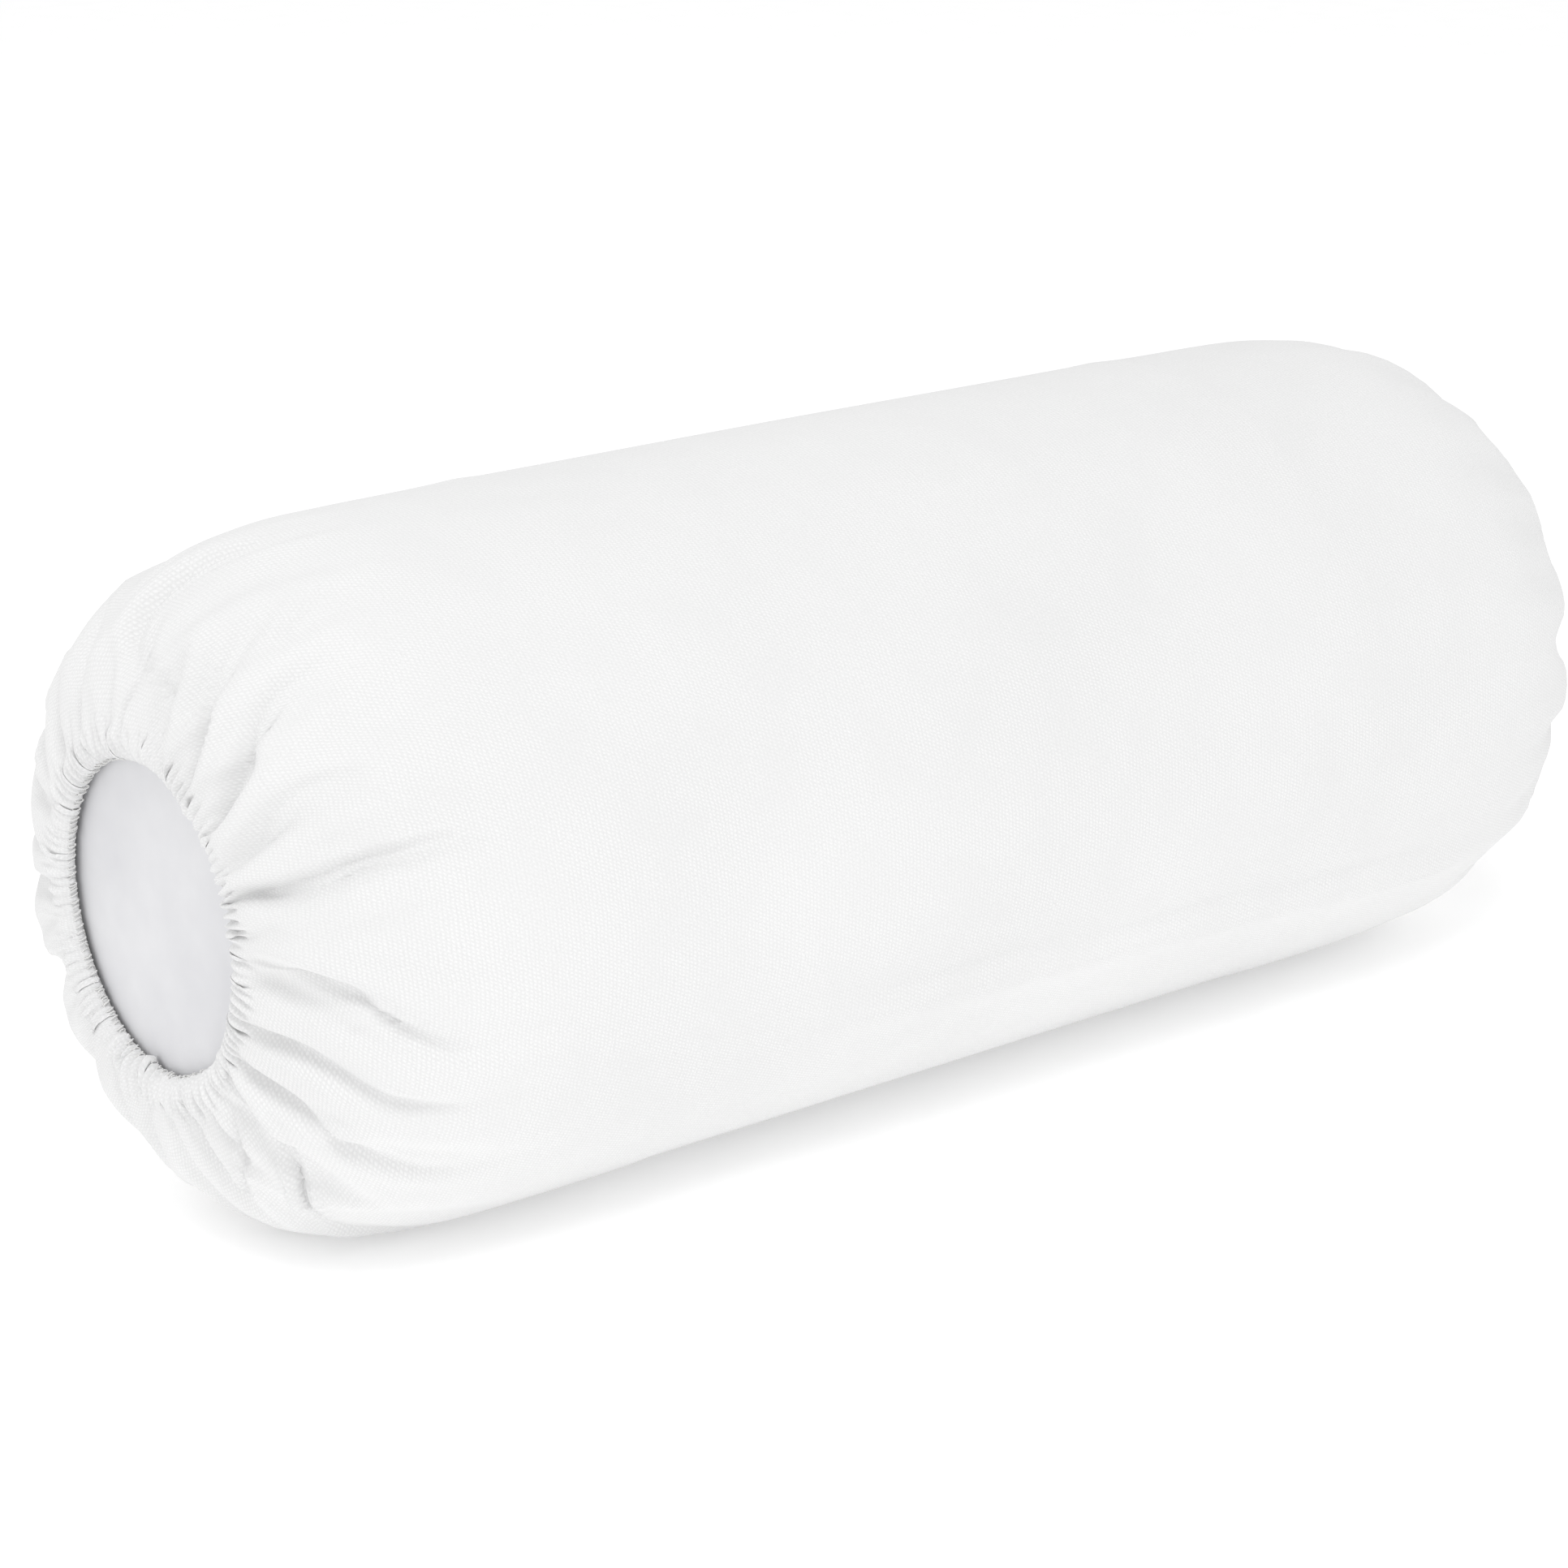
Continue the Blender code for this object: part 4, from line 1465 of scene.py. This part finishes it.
# ---------------------------------------------------------------- casing
@dataclass
class Casing:
    """The coated fabric casing: a barrel with a slot for the zip, and two sewn-in round ends."""

    columns: int = 330
    thickness: float = 0.9 * MM
    shoulder_rows: int = 22
    barrel_rows: int = 60
    seam_angle: float = 0.0
    stitch: float = 3.2 * MM
    puckers: int = 74
    disc_rings: int = 20
    disc_columns: int = 128
    seam_offset: float = 0.0135  # how far the end seam's radius is past END_RADIUS

    def __post_init__(self) -> None:
        """Find where on the shoulder's curve the end seam lies."""
        share = self.seam_offset / (CASING_RADIUS - END_RADIUS)
        self.seam_angle = math.asin(share ** (SHOULDER_POWER / 2))

    def profile(self) -> tuple[np.ndarray, np.ndarray, np.ndarray]:
        """X, radius and distance to the nearer end seam, from one end seam to the other."""
        angle = np.linspace(self.seam_angle, math.pi / 2, self.shoulder_rows + 1)
        inset, radius = shoulder_point(CASING_DEPTH, CASING_RADIUS - 0.2 * MM, angle)
        margin = np.linspace(SHOULDER_LENGTH, HALF_LENGTH - SLOT_HALF_LENGTH, 6)[1:]
        inset = np.concatenate([inset, margin])
        radius = np.concatenate([radius, np.full(5, radius[-1])])
        x = inset - HALF_LENGTH
        middle = np.linspace(-SLOT_HALF_LENGTH, SLOT_HALF_LENGTH, self.barrel_rows + 1)[1:-1]
        x = np.concatenate([x, middle, -x[::-1]])
        radius = np.concatenate([radius, np.full(len(middle), radius[-1]), radius[::-1]])
        run = np.concatenate([[0], np.cumsum(np.hypot(np.diff(x), np.diff(radius)))])
        return x, radius, run

    def barrel(self, finish: bpy.types.Material) -> bpy.types.Object:
        """The barrel, puckered at its end seams and turned in along the zip."""
        rng = np.random.default_rng(5)
        x, radius, run = self.profile()
        turn, along = np.meshgrid(ZIP_ANGLE + np.arange(self.columns) * FULL_TURN / self.columns, run)
        from_seam = np.minimum(along, run[-1] - along)
        pucker = np.zeros_like(turn)
        for near in (along, run[-1] - along):
            for index in range(self.puckers):
                centre = (index + rng.uniform(-0.35, 0.35)) * FULL_TURN / self.puckers
                reach = rng.uniform(0.012, 0.045)
                across = wrapped(turn - centre - rng.normal() * near) / (0.020 + 0.25 * near)
                height = rng.uniform(0.3, 1.1) * MM
                pucker -= height * np.exp(-(across**2) - (near / reach) ** 2) * smoothstep(0.0, 0.004, near)
        x_grid = np.repeat(x[:, None], self.columns, 1)
        wave = 0.25 * MM * (np.sin(5 * turn + 30 * x_grid) * np.sin(21 * x_grid + 0.4) - 1)
        from_slot = np.abs(wrapped(turn - ZIP_ANGLE)) * CASING_RADIUS
        over = np.clip(np.abs(x_grid) - SLOT_HALF_LENGTH, 0, None)
        distance = np.hypot(np.clip(from_slot - SLOT_HALF_WIDTH, 0, None), over)
        lip = -0.45 * MM * np.exp(-((distance / 0.0022) ** 2))
        lip += 0.15 * MM * np.exp(-(((distance - 0.005) / 0.0025) ** 2))
        lip -= 0.30 * MM * np.exp(-(((distance - 0.0085) / 0.0012) ** 2))
        keep = smoothstep(0.0, 0.010, from_seam)
        height = np.minimum(radius[:, None] + pucker + wave * keep + lip, radius[:, None])
        z_grid = np.maximum(-height * np.cos(turn), CASING_FLOOR)
        points = np.stack([x_grid, height * np.sin(turn), z_grid], -1)
        points[..., 2] += AXIS_HEIGHT
        made = sheet_mesh(list(points), run.tolist(), FULL_TURN * CASING_RADIUS)
        self.open_slot(made)
        barrel = finish_mesh("casing_cloth", made, finish, Body.BOLSTER, ["casing_barrel"],
                             recalculate=False)
        thicken(barrel, "fabric_thickness", self.thickness)
        return barrel

    def open_slot(self, made: bmesh.types.BMesh) -> None:
        """Take out the faces over the zip."""
        centre = Vector((0, math.sin(ZIP_ANGLE), -math.cos(ZIP_ANGLE)))
        side = Vector((0, math.cos(ZIP_ANGLE), math.sin(ZIP_ANGLE)))
        gone = []
        for face in made.faces:
            place = face.calc_center_median() - Vector((0, 0, AXIS_HEIGHT))
            inside = abs(place.x) < SLOT_HALF_LENGTH and abs(place.dot(side)) < SLOT_HALF_WIDTH
            if inside and place.dot(centre) > 0:
                gone.append(face)
        bmesh.ops.delete(made, geom=gone, context="FACES")

    def end(self, side: Side, finish: bpy.types.Material) -> bpy.types.Object:
        """One round end, softly crowned by the filling and drawn in at its seam.

        Args:
            side: which end.
            finish: the coated fabric.

        Returns:
            The end.
        """
        low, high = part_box(f"casing_end_{side.label}")
        radius = (high.z - low.z) / 2 - 0.1 * MM
        front = low.x if side is Side.NEAR else high.x
        made = bmesh.new()
        rings = self.disc_rings
        verts = [made.verts.new((0, 0, -radius * (ring / rings))) for ring in range(rings + 1)]
        edges = [made.edges.new(pair) for pair in zip(verts, verts[1:])]
        spin_round(made, verts + edges, self.disc_columns)
        bmesh.ops.remove_doubles(made, verts=made.verts, dist=WELD)
        for vert in made.verts:
            out = math.hypot(vert.co.y, vert.co.z) / radius
            angle = math.atan2(vert.co.y, -vert.co.z)
            crown = 2.4 * MM * (1 - out**6)
            dent = (0.5 * MM * math.sin(2 * angle + 1.0) * math.sin(math.pi * out)
                    + 0.25 * MM * math.sin(5 * angle) * out**2 * (1 - out))
            pleat = 0.35 * MM * (math.sin(46 * angle) + math.sin(29 * angle + 1)) * out**10 * (1 - out) * 8
            vert.co.x = front + side.value * (crown + dent + pleat - 0.25 * MM * (1 - out))
        bmesh.ops.translate(made, verts=made.verts, vec=(0, 0, AXIS_HEIGHT))
        bmesh.ops.recalc_face_normals(made, faces=made.faces)
        centre = Vector((front, 0, AXIS_HEIGHT))
        middle = min(made.faces, key=lambda face: (face.calc_center_median() - centre).length)
        if middle.normal.x * side.value < 0:
            bmesh.ops.reverse_faces(made, faces=made.faces)
        end = finish_mesh(f"casing_round_end_{side.label}", made, finish, Body.BOLSTER,
                          [f"casing_end_{side.label}"], recalculate=False)
        thicken(end, "fabric_thickness", self.thickness)
        return end

    def end_seam(self, side: Side, finish: bpy.types.Material) -> bpy.types.Object:
        """The ring of stitches that joins one round end to the barrel."""
        low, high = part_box(f"casing_end_seam_{side.label}")
        radius, x = (high.z - low.z) / 2 - 0.45 * MM, (low.x + high.x) / 2
        count = round(FULL_TURN * radius / self.stitch)
        centre = Vector((x + side.value * 0.05 * MM, 0, AXIS_HEIGHT))
        places = []
        for index in range(count):
            angle = index * FULL_TURN / count
            out = Vector((0, math.sin(angle), -math.cos(angle)))
            tangent = Vector((side.value * 0.08, math.cos(angle), math.sin(angle)))
            places.append(frame_matrix(centre + radius * out, tangent, out))
        made = repeat(capsule(self.stitch * 0.92, 0.42 * MM), places)
        return finish_mesh(f"casing_seam_stitches_{side.label}", made, finish, Body.BOLSTER,
                           [f"casing_end_seam_{side.label}"], recalculate=False)

    def build(self) -> list[bpy.types.Object]:
        """Build and dress the casing."""
        vinyl = CoatedFabric().material()
        # The round ends take a darker copy of the coated fabric: painted shade for the shade that falls on
        # them inside the cover's mouths.
        vinyl_painted_shade = CoatedFabric("coated_fabric_end_pale_grey", light="E7E7E9", dark="DCDCDF").material()
        thread = SpunThread("bonded_thread_grey", "BDBDBE", "A2A2A4").material()
        pieces = [self.barrel(vinyl)]
        for side in Side:
            pieces += [self.end(side, vinyl_painted_shade), self.end_seam(side, thread)]
        return pieces


# ---------------------------------------------------------------- zip
def zip_matrix() -> Matrix:
    """The zip's own axes: X along the bolster, Z out of the casing through the slot."""
    turned = Matrix.Rotation(-math.pi / 2 - math.radians(27.0), 4, "X")
    turned.translation = (0, 0, AXIS_HEIGHT)
    return turned


def zip_box(node: str) -> tuple[Vector, Vector]:
    """Lowest and highest corner of a frame node, in the zip's own axes."""
    back = zip_matrix().inverted()
    points = [back @ vert.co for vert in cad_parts[node].data.vertices]
    low = Vector([min(point[axis] for point in points) for axis in range(3)])
    high = Vector([max(point[axis] for point in points) for axis in range(3)])
    return low, high


def rounded_block(low: Vector, high: Vector, bevel: float, segments: int = 2) -> bmesh.types.BMesh:
    """A block between two corners with rounded edges.

    Args:
        low: lowest corner.
        high: highest corner.
        bevel: radius of its edges.
        segments: steps in each rounded edge.

    Returns:
        The block.
    """
    made = bmesh.new()
    bmesh.ops.create_cube(made, size=1.0)
    bmesh.ops.scale(made, vec=high - low, verts=made.verts)
    bmesh.ops.translate(made, vec=(low + high) / 2, verts=made.verts)
    bmesh.ops.bevel(made, geom=made.edges[:], offset=bevel, offset_type="OFFSET", affect="EDGES",
                    segments=segments, profile=0.5, material=-1, clamp_overlap=True)
    return made


@dataclass
class Zip:
    """The casing's closure: two woven tapes, two nylon coils, two stops and a locking slider."""

    coil_pitch: float = 1.5 * MM
    filament: float = 0.24 * MM

    def tape(self, name: str, finish: bpy.types.Material) -> bpy.types.Object:
        """One woven tape: a thin block with rounded edges, cut across every 10 mm."""
        node = f"zip_tape_{name}"
        low, high = zip_box(node)
        made = rounded_block(low, high, 0.2 * MM, 1)
        for x in np.arange(low.x + 0.010, high.x, 0.010):
            geometry = made.verts[:] + made.edges[:] + made.faces[:]
            bmesh.ops.bisect_plane(made, geom=geometry, plane_co=(float(x), 0, 0), plane_no=(1, 0, 0))
        bmesh.ops.transform(made, matrix=zip_matrix(), verts=made.verts)
        return finish_mesh(f"zip_woven_tape_{name}", made, finish, Body.BOLSTER, [node])

    def coil(self, name: str, finish: bpy.types.Material) -> bpy.types.Object:
        """One coil: loops of filament that interlock with the other coil's."""
        node = f"zip_coil_{name}"
        low, high = zip_box(node)
        centre = (low + high) / 2
        count = int((high.x - low.x - self.coil_pitch) / self.coil_pitch)
        pattern = stitch_loop((high.y - low.y) - 0.05 * MM, (high.z - low.z) - 0.05 * MM, self.filament)
        shift = self.coil_pitch / 2 if name == "upper" else 0.0
        span = (count - 1) * self.coil_pitch
        lean = Vector((1, 0.16 if name == "upper" else -0.16, 0))
        places = [
            frame_matrix(Vector((centre.x - span / 2 + index * self.coil_pitch + shift - self.coil_pitch / 4,
                                 centre.y, centre.z)), lean, Vector((0, 1, 0)))
            for index in range(count)
        ]
        loop_shrink = Matrix.Diagonal((1, 0.84, 0.78, 1))
        made = repeat(pattern, [place @ loop_shrink for place in places])
        bmesh.ops.transform(made, matrix=zip_matrix(), verts=made.verts)
        return finish_mesh(f"zip_coil_loops_{name}", made, finish, Body.BOLSTER, [node],
                           recalculate=False)

    def stop(self, name: str, finish: bpy.types.Material) -> bpy.types.Object:
        """One metal stop, clamped over both coils."""
        node = f"zip_{name}_stop"
        low, high = zip_box(node)
        made = rounded_block(low, high, 0.3 * MM, 3)
        bmesh.ops.transform(made, matrix=zip_matrix(), verts=made.verts)
        return finish_mesh(f"zip_{name}_stop_clamp", made, finish, Body.BOLSTER, [node])

    def slider(self, finish: bpy.types.Material) -> bpy.types.Object:
        """The slider: two rounded plates with side flanges, and a post between them."""
        low, high = zip_box("zip_slider")
        centre, size = (low + high) / 2, high - low
        plate = 0.7 * MM
        flange = 0.8 * MM
        made = rounded_block(Vector((low.x, low.y, high.z - plate)), high, 0.25 * MM, 3)
        self.taper(made, centre.x, size.x, 0.10)
        under = rounded_block(low, Vector((high.x, high.y, low.z + plate)), 0.25 * MM, 3)
        self.taper(under, centre.x, size.x, 0.10)
        join(made, under)
        flange_low = zip_box("zip_tape_upper")[1].z + 0.3 * MM
        for side in (-1, 1):
            outer = centre.y + side * (size.y / 2 - 0.08 * MM)
            inner = outer - side * (flange - 0.10 * MM)
            first = Vector((low.x + 0.9 * MM, min(inner, outer), flange_low))
            last = Vector((high.x - 0.9 * MM, max(inner, outer), high.z - 0.1 * MM))
            join(made, rounded_block(first, last, 0.2 * MM))
        first = Vector((centre.x - 1.5 * MM, centre.y - 0.45 * MM, low.z + 0.2 * MM))
        last = Vector((centre.x + 1.5 * MM, centre.y + 0.45 * MM, high.z - 0.2 * MM))
        join(made, rounded_block(first, last, 0.15 * MM))
        bmesh.ops.transform(made, matrix=zip_matrix(), verts=made.verts)
        return finish_mesh("zip_slider_body", made, finish, Body.SLIDER, ["zip_slider"])

    @staticmethod
    def taper(made: bmesh.types.BMesh, centre: float, length: float, share: float) -> None:
        """Narrow a plate towards both of its ends."""
        for vert in made.verts:
            out = abs(vert.co.x - centre) / (length / 2)
            vert.co.y *= 1 - share * max(0.0, out - 0.4) / 0.6

    def build(self) -> list[bpy.types.Object]:
        """Build and dress the zip."""
        tape = WovenTape("zip_tape_grey", "B4B4B7", "9A9A9E", rib=1.4 * MM, thread=0.8 * MM).material()
        nylon = MouldedNylon().material()
        zinc = CastZinc().material()
        pieces = []
        for name in ("upper", "lower"):
            pieces += [self.tape(name, tape), self.coil(name, nylon)]
        pieces += [self.stop("top", zinc), self.stop("bottom", zinc), self.slider(zinc)]
        return pieces


# ---------------------------------------------------------------- filling
@dataclass
class Filling:
    """What the casing holds: a foam core, wadding rolled round it and a pad at each end."""

    halvings: int = 5
    face_limit: int = 60000

    def copy_of(self, node: str, cut: float, rise: float, seed: float) -> bmesh.types.BMesh:
        """A merged copy of a frame node, cut finer and given an uneven skin.

        Args:
            node: the frame's node.
            cut: edges longer than this are halved.
            rise: how deep its skin's dips are.
            seed: shifts the dips.

        Returns:
            The new shape, nowhere outside the node.
        """
        made = bmesh.new()
        made.from_mesh(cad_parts[node].data)
        bmesh.ops.remove_doubles(made, verts=made.verts, dist=WELD)
        for _ in range(self.halvings):
            long_edges = [edge for edge in made.edges if edge.calc_length() > cut]
            if not long_edges or len(made.faces) > self.face_limit:
                break
            bmesh.ops.subdivide_edges(made, edges=long_edges, cuts=1, use_grid_fill=True)
        bmesh.ops.triangulate(made, faces=[face for face in made.faces if len(face.verts) > 4])
        made.normal_update()
        for vert in made.verts:
            place = vert.co * 1000
            dip = (math.sin(place.x / 9.1 + seed) * math.sin(place.y / 7.3 + 2 * seed)
                   * math.sin(place.z / 8.2 + 3 * seed))
            vert.co -= vert.normal * rise * (0.5 + 0.5 * dip)
        return made

    def build(self) -> list[bpy.types.Object]:
        """Build and dress the filling."""
        wadding = Wadding().material()
        pad_wadding = Wadding("polyester_pad_wadding", tuft=6 * MM).material()
        foam = CutFoam().material()
        parts = (
            ("fibre_wrap", "wadding_roll", 0.008, 0.5 * MM, wadding, "wadding", 0.5),
            ("fibre_pad_near", "wadding_pad_near", 0.006, 0.3 * MM, pad_wadding, "wadding", 0.6),
            ("fibre_pad_far", "wadding_pad_far", 0.006, 0.3 * MM, pad_wadding, "wadding", 0.6),
            ("foam_core", "foam_bolster", 0.010, 0.2 * MM, foam, "foam", 1.0),
        )
        pieces = []
        for index, (node, name, cut, rise, finish, slot, fill) in enumerate(parts):
            made = self.copy_of(node, cut, rise, 1.0 + index)
            piece = finish_mesh(name, made, finish, Body.BOLSTER, [node], recalculate=False)
            pieces.append(piece)
        return pieces


# ---------------------------------------------------------------- studio
@dataclass(frozen=True)
class SoftBox:
    """One soft light: where it hangs, how big it is and how much light it gives."""

    name: str
    place: tuple[float, float, float]
    size: float
    power: float


@dataclass
class Studio:
    """The pale floor, the soft lights and the camera."""

    target: tuple[float, float, float] = (0.0, 0.0, 0.12)
    azimuth: float = -39.5
    elevation: float = 17.9
    distance: float = 1.481
    heading_trim: float = 1.02
    pitch_trim: float = -0.57
    lens: float = 90.3
    sky: float = 0.78
    boxes: tuple[SoftBox, ...] = (
        SoftBox("soft_box_front", (-0.7, -1.1, 2.0), 0.9, 12.0),
        SoftBox("soft_box_back", (-0.9, 1.2, 1.9), 1.4, 4.5),
    )

    def camera(self) -> None:
        """Stand the camera where the bolster is seen from its near end."""
        azimuth, elevation = math.radians(self.azimuth), math.radians(self.elevation)
        back = Vector((math.sin(azimuth) * math.cos(elevation), -math.cos(azimuth) * math.cos(elevation),
                       math.sin(elevation)))
        ahead = -back
        heading = math.atan2(ahead.y, ahead.x) + math.radians(self.heading_trim)
        pitch = math.asin(ahead.z) + math.radians(self.pitch_trim)
        level = math.cos(pitch)
        ahead = Vector((math.cos(heading) * level, math.sin(heading) * level, math.sin(pitch)))
        lens = bpy.data.cameras.new("camera")
        lens.lens = self.lens
        lens.sensor_width = 36.0
        lens.clip_start, lens.clip_end = 0.05, 60.0
        camera = place_object("camera", lens)
        camera.location = Vector(self.target) + back * self.distance
        camera.rotation_euler = ahead.to_track_quat("-Z", "Y").to_euler()
        bpy.context.scene.camera = camera

    def lights(self) -> None:
        """Hang the soft boxes in an even white room."""
        world = bpy.data.worlds.new("white_room")
        world.use_nodes = True
        background = world.node_tree.nodes["Background"]
        background.inputs["Color"].default_value = (1, 1, 1, 1)
        background.inputs["Strength"].default_value = self.sky
        bpy.context.scene.world = world
        for box in self.boxes:
            light = bpy.data.lights.new(box.name, "AREA")
            light.shape = "DISK"
            light.size = box.size
            light.energy = box.power
            lamp = place_object(box.name, light)
            lamp.location = box.place
            towards = Vector(self.target) - Vector(box.place)
            lamp.rotation_euler = towards.to_track_quat("-Z", "Y").to_euler()

    def floor(self) -> None:
        """Lay the floor."""
        made = bmesh.new()
        bmesh.ops.create_grid(made, x_segments=4, y_segments=4, size=12.0)
        mesh = bpy.data.meshes.new("studio_floor")
        made.to_mesh(mesh)
        made.free()
        mesh.materials.append(SweepPaint().material())
        floor = place_object("studio_floor", mesh)

    def build(self) -> None:
        """Set the studio up."""
        bpy.context.scene.view_settings.view_transform = "Standard"
        self.camera()
        self.lights()
        self.floor()


def main() -> None:
    """Build the studio and the bolster."""
    logging.basicConfig(level=logging.INFO, format="%(message)s")
    Studio().build()
    makers: tuple[Callable[[], list[bpy.types.Object]], ...] = (
        Cover().build, Casing().build, Zip().build, Filling().build,
    )
    count = 0
    for make in makers:
        count += len(make())
    LOG.info("%d pieces", count)


if __name__ == "__main__":
    main()
